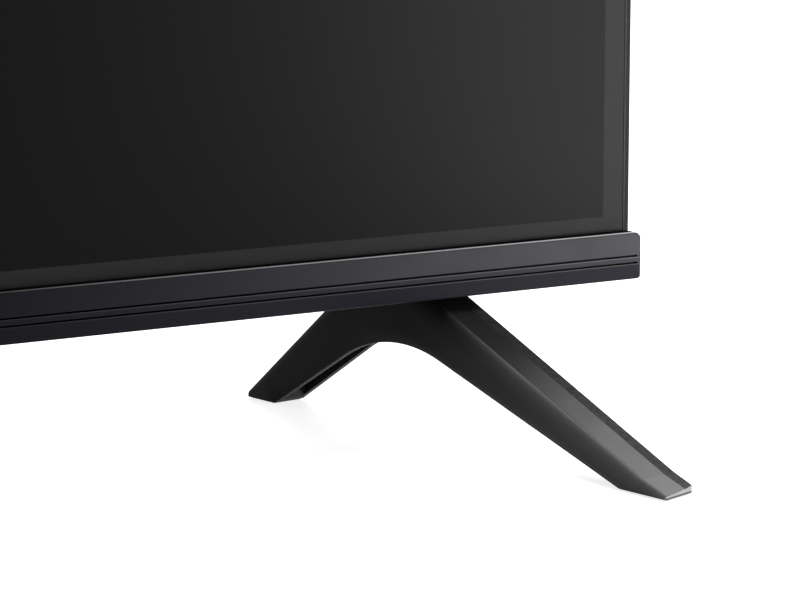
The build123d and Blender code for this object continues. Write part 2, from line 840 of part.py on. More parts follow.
# Mains inlet
inlet_x = (mains_left + mains_right) / 2
inlet_z = mains_high - 28.0
inlet_width = 22.0
inlet_height = 14.0
inlet_flange_width = 30.0
inlet_flange_height = 20.0
inlet_flange_thick = 1.6
inlet_mouth_width = 15.8
inlet_mouth_height = 8.6
inlet_mouth_depth = 13.0
inlet_length = 19.0
inlet_pin_radius = 1.2
inlet_pin_pitch = 8.6
with BuildPart() as mains_inlet:
    inlet_face = port_outer + inlet_flange_thick
    block(inlet_x - inlet_width / 2, inlet_x + inlet_width / 2, port_outer - inlet_length,
          port_outer, inlet_z - inlet_height / 2, inlet_z + inlet_height / 2)
    block(inlet_x - inlet_flange_width / 2, inlet_x + inlet_flange_width / 2, port_outer,
          inlet_face, inlet_z - inlet_flange_height / 2, inlet_z + inlet_flange_height / 2)
    with BuildSketch(upright(inlet_face)):
        with Locations((inlet_x, inlet_z)):
            SlotOverall(inlet_mouth_width, inlet_mouth_height)
    extrude(amount=inlet_mouth_depth, mode=Mode.SUBTRACT)
save(mains_inlet.part, "mains_inlet")

with BuildPart() as mains_pins:
    for side in (-1, 1):
        rod_y(inlet_x + side * inlet_pin_pitch / 2, inlet_z, inlet_face - inlet_mouth_depth,
              inlet_face - inlet_flange_thick, inlet_pin_radius)
save(mains_pins.part, "mains_pins")

# Speakers
speaker_front = tray_back + tongue_gap + cover_wall
speaker_back = front_y + skirt_back - cover_wall - speaker_gap
speaker_low = body_low + cover_wall
speaker_mid_x = (speaker_left + speaker_right) / 2
speaker_mid_y = (speaker_front + speaker_back) / 2
with BuildPart() as speaker_box_right:
    block(speaker_left, speaker_right, speaker_front, speaker_back, speaker_low, speaker_high)
    block(speaker_left + speaker_wall, speaker_right - speaker_wall,
          speaker_front + speaker_wall, speaker_back - speaker_wall,
          speaker_low + speaker_wall, speaker_high - speaker_wall, mode=Mode.SUBTRACT)
    with BuildSketch(Plane.XY.offset(speaker_low)):
        with Locations((speaker_mid_x, speaker_mid_y)):
            SlotOverall(cone_length, 2 * cone_radius - 2 * tongue_gap)
    extrude(amount=speaker_wall, mode=Mode.SUBTRACT)
save(speaker_box_right.part, "speaker_box_right")
save(mirror(speaker_box_right.part, about=Plane.YZ), "speaker_box_left")

with BuildPart() as speaker_driver_right:
    driver_low = speaker_low + speaker_wall
    with BuildSketch(Plane.XY.offset(driver_low)):
        with Locations((speaker_mid_x, speaker_mid_y)):
            SlotOverall(cone_length + 2 * cone_radius, 2 * cone_radius - tongue_gap)
    extrude(amount=basket_height)
    with BuildSketch(Plane.XY.offset(driver_low)):
        with Locations((speaker_mid_x, speaker_mid_y)):
            SlotOverall(cone_length - 2 * speaker_wall, 2 * cone_radius - 2 * speaker_wall)
    extrude(amount=basket_height / 2, taper=20, mode=Mode.SUBTRACT)
save(speaker_driver_right.part, "speaker_driver_right")
save(mirror(speaker_driver_right.part, about=Plane.YZ), "speaker_driver_left")

# Wall mount standoffs between the tray and the cover's back
with BuildPart() as vesa_standoffs:
    for x, z in vesa_spots:
        rod_y(x, z, tray_back, tray_back + standoff_foot_thick, standoff_foot_radius)
        rod_y(x, z, tray_back, bulge_outer, standoff_radius)
        rod_y(x, z, bulge_outer - vesa_depth, bulge_outer, vesa_bore, mode=Mode.SUBTRACT)
save(vesa_standoffs.part, "vesa_standoffs")


def bulge_loft(y_low, y_high, inset):
    """The deep middle of the cover, drawn in by inset."""
    share_high = (y_high - slab_back) / (bulge_outer - slab_back)
    share_low = (y_low - slab_back) / (bulge_outer - slab_back)
    faces = []
    for y, share in ((y_low, share_low), (y_high, share_high)):
        faces.append(upright_rectangle(
            y, bulge_half_width - share * bulge_taper_side - inset,
            bulge_low + share * bulge_taper_low + inset,
            bulge_high - share * bulge_taper_high - inset, bulge_corner).face())
    loft(faces)


def skirt_loft(y_high, inset):
    """The deep lower edge of the cover, drawn in by inset."""
    loft([
        upright_rectangle(frame_back, skirt_half_width - inset, body_low + inset,
                          skirt_top - inset).face(),
        upright_rectangle(y_high, skirt_half_width - skirt_taper - inset, body_low + inset,
                          skirt_back_top - inset).face(),
    ])


with BuildPart() as cover_outside:
    block(-cover_half, cover_half, frame_back, slab_back, body_low, cover_top)
    fillet(cover_outside.edges().filter_by(Axis.Y).sort_by(Axis.Z)[-2:], frame_corner)
    slab_edges = cover_outside.faces().sort_by(Axis.Y)[-1].edges()
    fillet(slab_edges, cover_round)
    with BuildPart(mode=Mode.PRIVATE) as bulge_outside:
        bulge_loft(slab_back - cover_wall, bulge_outer, 0)
        fillet(bulge_outside.faces().sort_by(Axis.Y)[-1].edges(), bulge_round)
    add(bulge_outside.part)
    with BuildPart(mode=Mode.PRIVATE) as skirt_outside:
        skirt_loft(skirt_outer, 0)
    add(skirt_outside.part)

with BuildPart() as cover_inside:
    block(-cover_half + cover_wall, cover_half - cover_wall, frame_back, cover_inner_back,
          body_low + cover_wall, cover_top - cover_wall)
    with BuildPart(mode=Mode.PRIVATE) as bulge_inside:
        bulge_loft(slab_back - 2 * cover_wall, bulge_outer - cover_wall, cover_wall)
    add(bulge_inside.part)
    with BuildPart(mode=Mode.PRIVATE) as skirt_inside:
        skirt_loft(skirt_outer - cover_wall, cover_wall)
    add(skirt_inside.part)

with BuildPart() as socket_walls:
    block(port_left - cover_wall, port_right + cover_wall, port_outer - cover_wall,
          bulge_outer - cover_wall / 2, port_low, port_high + cover_wall)
    block(mains_left - cover_wall, mains_right + cover_wall, port_outer - cover_wall,
          bulge_outer - cover_wall / 2, port_low, mains_high + cover_wall)
    add(cover_outside.part, mode=Mode.INTERSECT)

vent_xs = [vent_pitch * (index - (vent_count - 1) / 2) for index in range(vent_count)]
vent_zs = [vent_centre_z + vent_row_pitch * (row - (vent_rows - 1) / 2)
           for row in range(vent_rows)]
grille_xs = [grille_pitch * (index - (grille_count - 1) / 2) for index in range(grille_count)]


def port_hole(x, width, height):
    """A clearance hole for a socket in the recess floor."""
    block(x - width / 2 - port_gap, x + width / 2 + port_gap, port_outer - 2 * cover_wall,
          port_outer + cover_wall, port_z - height / 2 - port_gap,
          port_z + height / 2 + port_gap, mode=Mode.SUBTRACT)


# Rear cover
with BuildPart() as rear_cover:
    add(cover_outside.part)
    add(cover_inside.part, mode=Mode.SUBTRACT)
    add(socket_walls.part)
    block(port_left, port_right, port_outer, bulge_outer + overrun, port_low - overrun,
          port_high, mode=Mode.SUBTRACT)
    block(mains_left, mains_right, port_outer, bulge_outer + overrun, port_low - overrun,
          mains_high, mode=Mode.SUBTRACT)
    for x in hdmi_xs:
        port_hole(x, hdmi_width, hdmi_height)
    port_hole(usb_x, usb_width, usb_height)
    port_hole(lan_x, lan_width, lan_height)
    port_hole(jack_x, jack_side, jack_side)
    rod_y(antenna_x, port_z, port_outer - 2 * cover_wall, port_outer + cover_wall,
          antenna_radius + port_gap, mode=Mode.SUBTRACT)
    block(inlet_x - inlet_width / 2 - port_gap / 2, inlet_x + inlet_width / 2 + port_gap / 2,
          port_outer - 2 * cover_wall, port_outer + cover_wall,
          inlet_z - inlet_height / 2 - port_gap / 2, inlet_z + inlet_height / 2 + port_gap / 2,
          mode=Mode.SUBTRACT)
    for x, z in vesa_spots:
        rod_y(x, z, bulge_outer - 2 * cover_wall, bulge_outer + cover_wall,
              standoff_radius + standoff_gap, mode=Mode.SUBTRACT)
    for x, z in cover_screw_spots:
        rod_y(x, z, cover_inner_back - cover_wall, slab_back + cover_wall,
              screw_hole + screw_hole - screw_shank, mode=Mode.SUBTRACT)
    for side in (-1, 1):
        block(side * tongue_x - tongue_half - tongue_gap, side * tongue_x + tongue_half + tongue_gap,
              tongue_y_front - tongue_gap, tongue_y_back + tongue_gap, body_low - cover_wall,
              body_low + 2 * cover_wall, mode=Mode.SUBTRACT)
        for z in foot_screw_zs:
            rod_y(side * tongue_x, z, skirt_outer - 2 * cover_wall, skirt_outer + cover_wall,
                  foot_screw_hole + tongue_gap, mode=Mode.SUBTRACT)
    with BuildSketch(Plane.XY.offset(body_low - cover_wall)):
        for side in (-1, 1):
            for x in grille_xs:
                with Locations((side * speaker_mid_x + x, speaker_mid_y)):
                    Rectangle(grille_slot_width, grille_slot_depth)
    extrude(amount=3 * cover_wall, mode=Mode.SUBTRACT)
    with BuildSketch(upright(slab_back - cover_wall)):
        for x in vent_xs:
            for z in vent_zs:
                with Locations((x, z)):
                    Rectangle(vent_width, vent_height)
    extrude(amount=-(bulge_outer - slab_back), mode=Mode.SUBTRACT)
save(rear_cover.part, "rear_cover")

# Screws of the cover
with BuildPart() as cover_screws:
    for x, z in cover_screw_spots:
        rod_y(x, z, slab_back - cover_depth_reach, slab_back, screw_shank)
        rod_y(x, z, slab_back, slab_back + screw_head_thick, screw_head)
        rod_y(x, z, slab_back + screw_head_thick - drive_depth, slab_back + screw_head_thick,
              drive_radius, mode=Mode.SUBTRACT)
save(cover_screws.part, "cover_screws")

# Steel plates that carry the feet
with BuildPart() as foot_bracket_right:
    block(tongue_x - bracket_half, tongue_x + bracket_half, tray_back, tongue_y_front,
          bracket_low, bracket_high)
    fillet(foot_bracket_right.edges().filter_by(Axis.Y), bracket_corner)
    for z in foot_screw_zs:
        rod_y(tongue_x, z, tray_back, tongue_y_front, foot_screw_hole, mode=Mode.SUBTRACT)
    for x, z in bracket_spots:
        rod_y(x, z, tray_back, tongue_y_front, screw_hole, mode=Mode.SUBTRACT)
save(foot_bracket_right.part, "foot_bracket_right")
save(mirror(foot_bracket_right.part, about=Plane.YZ), "foot_bracket_left")

# Feet
knee_height = toe_height + toe_rise
ridge_end = ridge_top_share * foot_length
back_end = back_top_share * foot_length
front_rise_start = front_pad_length + pad_margin
back_rise_start = foot_length - back_pad_length - heel_step
arch_peak_run = arch_peak_share * foot_length
ridge_slope = atan2(body_low - knee_height, ridge_end - toe_length)
back_slope = atan2(body_low - heel_height, foot_length - heel_step - back_end)
under_slope = atan2(arch_rise, arch_peak_run - front_rise_start)
under_back_slope = atan2(arch_rise, back_rise_start - arch_peak_run)
arch_tangent = arch_radius * tan((under_slope + under_back_slope) / 2)


def foot_side(rise):
    """The foot's outline from its side, its upper edges raised by rise."""
    arch_front = (arch_peak_run - arch_tangent * cos(under_slope),
                  pad_proud + arch_rise - arch_tangent * sin(under_slope))
    arch_back = (arch_peak_run + arch_tangent * cos(under_back_slope),
                 pad_proud + arch_rise - arch_tangent * sin(under_back_slope))
    ridge_top = (ridge_end - rise / tan(ridge_slope), body_low)
    Line((0, pad_proud), (0, toe_height + rise / 2))
    Line((0, toe_height + rise / 2), (toe_length, knee_height + rise))
    Line((toe_length, knee_height + rise), ridge_top)
    Line(ridge_top, (back_end, body_low))
    Line((back_end, body_low), (foot_length - heel_step, heel_height))
    Line((foot_length - heel_step, heel_height), (foot_length, pad_proud))
    Line((foot_length, pad_proud), (back_rise_start, pad_proud))
    Line((back_rise_start, pad_proud), arch_back)
    RadiusArc(arch_back, arch_front, -arch_radius)
    Line(arch_front, (front_rise_start, pad_proud))
    Line((front_rise_start, pad_proud), (0, pad_proud))


floor_plane = Plane(origin=(toe_x, toe_y, 0), x_dir=(-splay_sin, splay_cos, 0),
                    z_dir=(0, 0, 1))
skew_run = foot_width * tan(radians(toe_skew))
hollow_front = front_rise_start + 2 * foot_skin
hollow_back = back_rise_start - foot_skin
ridge_skin = foot_skin / cos(ridge_slope)
back_skin = foot_skin / cos(back_slope)
hollow_top = body_low - foot_skin
hollow_top_front = ridge_end - (foot_skin - ridge_skin) / tan(ridge_slope)
hollow_top_back = back_end + (foot_skin - back_skin) / tan(back_slope)
rib_runs = [hollow_front + (hollow_back - hollow_front) * share for share in rib_shares]


def ridge_height(run):
    """Height of the foot's upper front edge, run from the toe."""
    return knee_height + (run - toe_length) * tan(ridge_slope)


def back_height(run):
    """Height of the foot's upper back edge, run from the toe."""
    return heel_height + (foot_length - heel_step - run) * tan(back_slope)


def edge_at(builder, run, height):
    """The edge of the foot's inner face that passes a place."""
    return builder.edges().sort_by_distance(foot_plane.from_local_coords((run, height, 0)))[0]


pad_width = foot_width - 2 * pad_margin
front_pad_span = front_rise_start - 3 * pad_margin
back_pad_span = back_pad_length - 2 * pad_margin
pad_places = [
    (front_rise_start - pad_margin / 2 - front_pad_span / 2, front_pad_span),
    (back_rise_start + pad_margin + back_pad_span / 2, back_pad_span),
]

with BuildPart() as foot_right:
    with BuildSketch(foot_plane):
        with BuildLine():
            foot_side(0)
        make_face()
    extrude(amount=foot_width - strip_width)
    with BuildSketch(foot_plane.offset(foot_width - strip_width)):
        with BuildLine():
            foot_side(0)
        make_face()
    with BuildSketch(foot_plane.offset(foot_width)):
        with BuildLine():
            foot_side(strip_rise)
        make_face()
    loft()
    with BuildSketch(floor_plane.offset(-overrun)):
        with BuildLine():
            Polyline((0, 0), (skew_run, -foot_width),
                     (skew_run - overrun, -foot_width - overrun), (-overrun, -foot_width),
                     (-overrun, 0), close=True)
        make_face()
    extrude(amount=2 * overrun + toe_height, mode=Mode.SUBTRACT)
    ridge_middle = (toe_length + ridge_end) / 2
    back_middle = (back_end + foot_length) / 2
    upper_edges = ShapeList([
        edge_at(foot_right, toe_length / 2, (toe_height + knee_height) / 2),
        edge_at(foot_right, ridge_middle, ridge_height(ridge_middle)),
        edge_at(foot_right, back_middle, back_height(back_middle)),
    ])
    fillet(upper_edges, ridge_round)
    with BuildSketch(foot_plane.offset(foot_wall)):
        with BuildLine():
            Polyline((hollow_front, -overrun),
                     (hollow_front, ridge_height(hollow_front) - ridge_skin),
                     (hollow_top_front, hollow_top), (hollow_top_back, hollow_top),
                     (hollow_back, back_height(hollow_back) - back_skin),
                     (hollow_back, -overrun), close=True)
        make_face()
        for run in rib_runs:
            with Locations((run, body_low / 2)):
                Rectangle(rib_thick, 2 * body_low, mode=Mode.SUBTRACT)
    extrude(amount=foot_width - 2 * foot_wall, mode=Mode.SUBTRACT)
    with BuildSketch(foot_plane.offset(foot_width - foot_wall)):
        with BuildLine():
            relief_peak = pad_proud + arch_rise + far_relief
            relief_start = back_rise_start + heel_step
            relief_back = (arch_peak_run + arch_tangent * cos(under_back_slope),
                           relief_peak - arch_tangent * sin(under_back_slope))
            relief_front = (arch_peak_run - arch_tangent * cos(under_slope),
                            relief_peak - arch_tangent * sin(under_slope))
            Line((relief_start, pad_proud), relief_back)
            RadiusArc(relief_back, relief_front, -arch_radius)
            Line(relief_front, (relief_front[0], pad_proud))
            Line((relief_front[0], pad_proud), (relief_start, pad_proud))
        make_face()
    extrude(amount=foot_wall, mode=Mode.SUBTRACT)
    for middle, length in pad_places:
        with BuildSketch(floor_plane):
            with Locations((middle, -foot_width / 2)):
                RectangleRounded(length + 2 * pad_gap, pad_width + 2 * pad_gap, pad_corner)
        extrude(amount=pad_thick, mode=Mode.SUBTRACT)
    with BuildPart(mode=Mode.PRIVATE) as tongue:
        block(tongue_x - tongue_half, tongue_x + tongue_half, tongue_y_front, tongue_y_back,
              body_low, tongue_top)
        fillet(tongue.edges().filter_by(Axis.Z), tongue_round)
        for z in foot_screw_zs:
            rod_y(tongue_x, z, tongue_y_front, tongue_y_back, foot_screw_hole,
                  mode=Mode.SUBTRACT)
    add(tongue.part)
save(foot_right.part, "foot_right")
save(mirror(foot_right.part, about=Plane.YZ), "foot_left")

# Rubber pads under the feet
with BuildPart() as right_pads:
    for middle, length in pad_places:
        with BuildSketch(floor_plane):
            with Locations((middle, -foot_width / 2)):
                RectangleRounded(length, pad_width, pad_corner)
        extrude(amount=pad_thick)
with BuildPart() as foot_pads:
    add(right_pads.part)
    mirror(right_pads.part, about=Plane.YZ)
save(foot_pads.part, "foot_pads")

# Screws that hold the feet
with BuildPart() as foot_screws:
    for side in (-1, 1):
        for z in foot_screw_zs:
            x = side * tongue_x
            rod_y(x, z, tray_back - screw_head_thick / 2, skirt_outer, foot_screw_shank)
            rod_y(x, z, skirt_outer, skirt_outer + foot_screw_head_thick, foot_screw_head)
            rod_y(x, z, skirt_outer + foot_screw_head_thick - drive_depth,
                  skirt_outer + foot_screw_head_thick, drive_radius + drive_depth / 2,
                  mode=Mode.SUBTRACT)
save(foot_screws.part, "foot_screws")

# Pod under the bar's middle, with the remote sensor and the power key
pod_y_front = front_y + pod_front
pod_y_back = front_y + pod_back
pod_low = bar_low - pod_height
pod_mid_y = (pod_y_front + pod_y_back) / 2
window_low = pod_low + pod_wall
window_high = bar_low - pod_wall
window_left = lens_window_offset - lens_window_half
window_right = lens_window_offset + lens_window_half

with BuildPart() as sensor_pod:
    block(-pod_half_width, pod_half_width, pod_y_front, pod_y_back, pod_low, bar_low)
    fillet(sensor_pod.edges().filter_by(Axis.Z), pod_round)
    block(-pod_half_width + pod_wall, pod_half_width - pod_wall, pod_y_front + pod_wall,
          pod_y_back - pod_wall, pod_low + pod_wall, bar_low, mode=Mode.SUBTRACT)
    block(window_left, window_right, pod_y_front, pod_y_front + pod_wall, window_low,
          window_high, mode=Mode.SUBTRACT)
    rod_z(key_offset_x, pod_mid_y, pod_low, pod_low + pod_wall, key_radius + key_gap,
          mode=Mode.SUBTRACT)
    rod_y(cable_exit_x, (pod_low + bar_low) / 2, pod_y_back - pod_wall, pod_y_back,
          sensor_lead_radius + key_gap, mode=Mode.SUBTRACT)
save(sensor_pod.part, "sensor_pod")

with BuildPart() as sensor_window:
    block(window_left + key_gap / 2, window_right - key_gap / 2, pod_y_front,
          pod_y_front + pod_wall, window_low + key_gap / 2, window_high - key_gap / 2)
save(sensor_window.part, "sensor_window")

sensor_board_low = bar_low - sensor_board_thick
switch_low = sensor_board_low - switch_height
with BuildPart() as sensor_board:
    block(-pod_half_width + pod_wall + key_gap, pod_half_width - pod_wall - key_gap,
          pod_y_front + pod_wall + key_gap, pod_y_back - pod_wall - key_gap,
          sensor_board_low, bar_low)
    block(key_offset_x - switch_side / 2, key_offset_x + switch_side / 2,
          pod_mid_y - switch_side / 2, pod_mid_y + switch_side / 2, switch_low,
          sensor_board_low)
    block(lens_window_offset - switch_side / 2, lens_window_offset + switch_side / 2,
          pod_y_front + 2 * pod_wall, pod_y_front + 2 * pod_wall + switch_side / 2,
          switch_low - switch_height, sensor_board_low)
save(sensor_board.part, "sensor_board")

with BuildPart() as power_key:
    key_low = pod_low - key_proud
    flange_low = pod_low + pod_wall + key_gap
    key_top = switch_low - key_travel - key_top_gap
    rod_z(key_offset_x, pod_mid_y, key_low, flange_low, key_radius)
    fillet(power_key.edges().sort_by(Axis.Z)[0], key_proud / 2)
    rod_z(key_offset_x, pod_mid_y, flange_low, flange_low + key_flange_thick,
          key_flange_radius)
    rod_z(key_offset_x, pod_mid_y, flange_low, key_top, key_radius / 2)
save(power_key.part, "power_key")


def lead(points, radius):
    """A round lead of straight runs joined by tangent arcs."""
    runs = [(Vector(*b) - Vector(*a)).length for a, b in zip(points, points[1:])]
    radii = []
    for index in range(1, len(points) - 1):
        before = Vector(*points[index]) - Vector(*points[index - 1])
        after = Vector(*points[index + 1]) - Vector(*points[index])
        half_turn = radians(before.get_angle(after)) / 2
        radii.append(arc_share * min(runs[index - 1], runs[index]) / tan(half_turn))
    print("lead radii", [round(value, 1) for value in radii])
    with BuildLine() as route:
        FilletPolyline(*points, radius=radii)
    with BuildSketch(Plane(origin=route.line @ 0, z_dir=route.line % 0)) as ring:
        Circle(radius)
    sweep(ring.sketch, path=route.line)


# White headers where the leads end
header_width = 12.0
header_height = 6.0
header_depth = 5.0
header_mid_y = board_back + header_depth / 2
speaker_header_right_x = main_right - 24.0
speaker_header_left_z = main_low + 20.0
sensor_header_x = main_left + 90.0
ribbon_half = 14.0
ribbon_x = main_left + 30.0
ribbon_header_half = ribbon_half + 2.0
board_header_z = main_low + 116.0
led_header_x = led_lead_x
mains_header_x = inlet_x
source_header_low = source_low + 4.0
source_header_depth = 3.0
wifi_header_z = wifi_low + wifi_height / 2


def header(x, z, half_width_x=header_width / 2, half_height_z=header_height / 2):
    """One header on the back of a board."""
    block(x - half_width_x, x + half_width_x, board_back, board_back + header_depth,
          z - half_height_z, z + half_height_z)


with BuildPart() as board_headers:
    header(speaker_header_right_x, main_low + header_height / 2)
    header(sensor_header_x, main_low + header_height / 2)
    header(ribbon_x, main_low + header_height / 2, half_width_x=ribbon_header_half)
    header(main_left + header_height / 2, speaker_header_left_z,
           half_width_x=header_height / 2, half_height_z=header_width / 2)
    header(main_left + header_height / 2, board_header_z,
           half_width_x=header_height / 2, half_height_z=header_width / 2)
    header(power_right - header_height / 2, board_header_z,
           half_width_x=header_height / 2, half_height_z=header_width / 2)
    header(led_header_x, power_high - header_height / 2)
    header(mains_header_x, power_low + header_height / 2)
    header(main_right - header_height / 2, wifi_header_z,
           half_width_x=header_height / 2, half_height_z=header_width / 2)
    block(ribbon_x - ribbon_header_half, ribbon_x + ribbon_header_half, source_back,
          source_back + source_header_depth, source_header_low,
          source_header_low + header_height)
save(board_headers.part, "board_headers")

# Leads
speaker_lead_radius = 1.2
right_lead = [
    (speaker_mid_x, speaker_mid_y, speaker_high),
    (speaker_mid_x, speaker_mid_y, speaker_high + 12.0),
    (speaker_header_right_x, header_mid_y, main_low - 12.0),
    (speaker_header_right_x, header_mid_y, main_low),
]
left_lead = [
    (-speaker_mid_x + 50.0, speaker_mid_y, speaker_high),
    (-speaker_mid_x + 50.0, speaker_mid_y, speaker_high + 22.0),
    (-speaker_mid_x + 95.0, speaker_mid_y, speaker_header_left_z - 12.0),
    (-150.0, speaker_mid_y, speaker_header_left_z - 5.0),
    (-100.0, header_mid_y, speaker_header_left_z - 1.0),
    (-50.0, header_mid_y, speaker_header_left_z - 3.0),
    (0.0, header_mid_y, speaker_header_left_z - 2.0),
    (50.0, header_mid_y, speaker_header_left_z - 3.0),
    (main_left - 25.0, header_mid_y, speaker_header_left_z),
    (main_left, header_mid_y, speaker_header_left_z),
]
with BuildPart() as speaker_leads:
    lead(right_lead, speaker_lead_radius)
    lead(left_lead, speaker_lead_radius)
save(speaker_leads.part, "speaker_leads")

mains_lead_radius = 1.4
with BuildPart() as mains_leads:
    for side in (-1, 1):
        x = inlet_x + side * inlet_pin_pitch / 3
        y = header_mid_y
        lead([(x, y, inlet_z + inlet_height / 2),
              (x, y, inlet_z + inlet_height / 2 + 8.0),
              (x + side, y, power_low - 8.0),
              (x + side, y, power_low)], mains_lead_radius)
save(mains_leads.part, "mains_leads")

with BuildPart() as led_lead:
    lead([(led_lead_x, header_mid_y, power_high),
          (led_lead_x, header_mid_y, led_lead_z),
          (led_lead_x, tray_back, led_lead_z)], led_lead_radius)
save(led_lead.part, "led_lead")

board_lead_radius = 2.0
with BuildPart() as board_lead:
    lead([(power_right, header_mid_y, board_header_z),
          (power_right + 28.0, header_mid_y, board_header_z),
          (-48.0, header_mid_y, board_header_z - 9.0),
          (0.0, header_mid_y, board_header_z - 12.0),
          (48.0, header_mid_y, board_header_z - 9.0),
          (main_left - 28.0, header_mid_y, board_header_z),
          (main_left, header_mid_y, board_header_z)], board_lead_radius)
save(board_lead.part, "board_lead")

with BuildPart() as wifi_lead:
    lead([(main_right, header_mid_y, wifi_header_z),
          (main_right + 5.0, header_mid_y, wifi_header_z),
          (wifi_left - 5.0, board_front + board_thick / 2, wifi_header_z),
          (wifi_left, board_front + board_thick / 2, wifi_header_z)], sensor_lead_radius)
save(wifi_lead.part, "wifi_lead")

with BuildPart() as sensor_lead:
    pod_middle_z = (pod_low + bar_low) / 2
    lead([(cable_exit_x, pod_y_back, pod_middle_z),
          (cable_exit_x, sensor_lead_y, pod_middle_z),
          (cable_exit_x, sensor_lead_y, pod_middle_z + 12.0),
          (cable_exit_x, sensor_lead_y + 6.0, body_low + 13.0),
          (cable_exit_x, source_back + 5.0, body_low + 26.0),
          (cable_exit_x, header_mid_y, body_low + 44.0),
          (cable_exit_x + 44.0, header_mid_y, main_low - 38.0),
          (cable_exit_x + 94.0, header_mid_y, main_low - 26.0),
          (cable_exit_x + 144.0, header_mid_y, main_low - 28.0),
          (sensor_header_x, header_mid_y, main_low - 22.0),
          (sensor_header_x, header_mid_y, main_low)], sensor_lead_radius)
save(sensor_lead.part, "sensor_lead")

# Flat ribbon from the main board to the driver board
ribbon_thick = 0.4
ribbon_low_y = source_back + source_header_depth / 2
ribbon_points = [
    (ribbon_low_y, source_header_low + header_height),
    (ribbon_low_y, source_header_low + header_height + 10.0),
    (header_mid_y, main_low - 10.0),
    (header_mid_y, main_low),
]
with BuildPart() as screen_ribbon:
    with BuildSketch(Plane.YZ.offset(ribbon_x - ribbon_half)):
        with BuildLine():
            Polyline(*[(y - ribbon_thick / 2, z) for y, z in ribbon_points],
                     *[(y + ribbon_thick / 2, z) for y, z in reversed(ribbon_points)],
                     close=True)
        make_face()
    extrude(amount=2 * ribbon_half)
save(screen_ribbon.part, "screen_ribbon")
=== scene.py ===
import math

import bmesh
import bpy
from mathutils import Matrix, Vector


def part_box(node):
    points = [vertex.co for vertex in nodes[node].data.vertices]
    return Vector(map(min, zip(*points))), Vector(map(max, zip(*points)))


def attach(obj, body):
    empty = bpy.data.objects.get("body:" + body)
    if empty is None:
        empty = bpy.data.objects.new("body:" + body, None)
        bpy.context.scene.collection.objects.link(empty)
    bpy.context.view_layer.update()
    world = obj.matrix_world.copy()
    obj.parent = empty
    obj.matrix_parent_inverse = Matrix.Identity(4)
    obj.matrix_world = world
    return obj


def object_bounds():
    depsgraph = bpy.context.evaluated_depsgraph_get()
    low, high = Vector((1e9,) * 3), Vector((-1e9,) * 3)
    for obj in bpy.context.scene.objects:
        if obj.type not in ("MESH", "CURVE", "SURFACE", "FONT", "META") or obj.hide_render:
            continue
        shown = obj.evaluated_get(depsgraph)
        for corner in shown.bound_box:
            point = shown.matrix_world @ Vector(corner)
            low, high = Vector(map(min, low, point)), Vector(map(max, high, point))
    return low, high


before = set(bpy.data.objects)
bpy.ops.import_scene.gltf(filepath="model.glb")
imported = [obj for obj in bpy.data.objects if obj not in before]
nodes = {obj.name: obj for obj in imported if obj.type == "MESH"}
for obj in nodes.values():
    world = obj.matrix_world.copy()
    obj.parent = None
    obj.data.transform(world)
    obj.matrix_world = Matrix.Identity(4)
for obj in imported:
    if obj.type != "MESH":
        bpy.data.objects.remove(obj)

cad_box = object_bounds()

MM = 0.001


def metres(*lengths):
    """Millimetres as metres."""
    return tuple(length * MM for length in lengths)


def grey(value, blue=0.0):
    """A linear grey, with a little more or less blue."""
    return (value, value, value + blue)


# The bar's and the set's edges, in metres, as the frame gives them
bar_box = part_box("bottom_bar")
FRONT_Y = bar_box[0].y
BAR_UNDER = bar_box[0].z
BAR_TOP = bar_box[1].z
BAR_HALF_WIDTH = bar_box[1].x
TOE_Y = cad_box[0].y
SET_TOP = cad_box[1].z

# The screen's active area, inside the black borders at its sides, below and above it
SIDE_BORDER, LOW_BORDER, TOP_BORDER = metres(11.8, 5.0, 10.0)
ACTIVE_HALF_WIDTH = BAR_HALF_WIDTH - SIDE_BORDER
ACTIVE_LOW = BAR_TOP + LOW_BORDER
ACTIVE_HIGH = SET_TOP - TOP_BORDER

# The place along the set's depth where the painted highlight on the frame's inner lip ends
LIP_BACK = FRONT_Y + 6.6 * MM

# The bar: the heights of its painted highlight, and the spans from the set's middle where its
# painted reflection and its painted highlight turn paler
HIGHLIGHT_SPAN = (BAR_TOP - 3.4 * MM, BAR_TOP - 2.4 * MM)
PAINTED_REFLECTION_SPAN = metres(250.0, 480.0)
SHINE_SPAN = metres(260.0, 460.0)

# The bar's grooves: their lower edges, their height and a margin round it, how far behind the
# front their painted shade starts, and the height of the painted highlight on the lip below each
LOWER_FACE, GROOVE_STEP = metres(5.1, 2.2)
GROOVES = (BAR_UNDER + LOWER_FACE, BAR_UNDER + LOWER_FACE + GROOVE_STEP)
GROOVE_HEIGHT, GROOVE_MARGIN, GROOVE_MOUTH, GROOVE_LIP = metres(0.6, 0.02, 0.2, 0.35)

# The foot, in millimetres: its sizes, and the tip of its toe, where its length starts
FOOT_SPLAY = math.radians(7.25)
FOOT_LENGTH = 197.6
FOOT_WIDTH = 12.6
STRIP_WIDTH = 3.3
TOE_INSET = 61.4
TOE = Vector((BAR_HALF_WIDTH / MM - TOE_INSET, TOE_Y / MM, 0.0))


def behind_toe(*depths):
    """Places along the set's depth, in metres, so many millimetres behind the toe's tip."""
    return tuple(TOE_Y + depth * MM for depth in depths)


# Where the foot's finish and painted light change, in metres: across it, along the set's depth and
# in height
STRIP_EDGE = (FOOT_WIDTH - STRIP_WIDTH) * MM
STRIP_BLUR = 0.1 * MM
LEG_SPAN = behind_toe(110.8, 40.8)
RIM_SPAN = behind_toe(94.8, 56.8)
LIT_FACET_SPAN = behind_toe(38.8, 0.8)
TIP_BACK = TOE_Y + 8.8 * MM
SHADED_SPAN = (BAR_UNDER - 2.9 * MM, BAR_UNDER - 16.9 * MM)
TIP_EDGE = 1.05 * MM

# Parts of a unit normal between which a surface turns one way
TURNED_AWAY = (-0.3, -0.6)
FACE_TURNS = (-0.96, -0.80)
TOP_TURNS = (-0.20, -0.45)
END_TURNS = (0.25, 0.55)
RIM_TURNS = (0.02, 0.32)

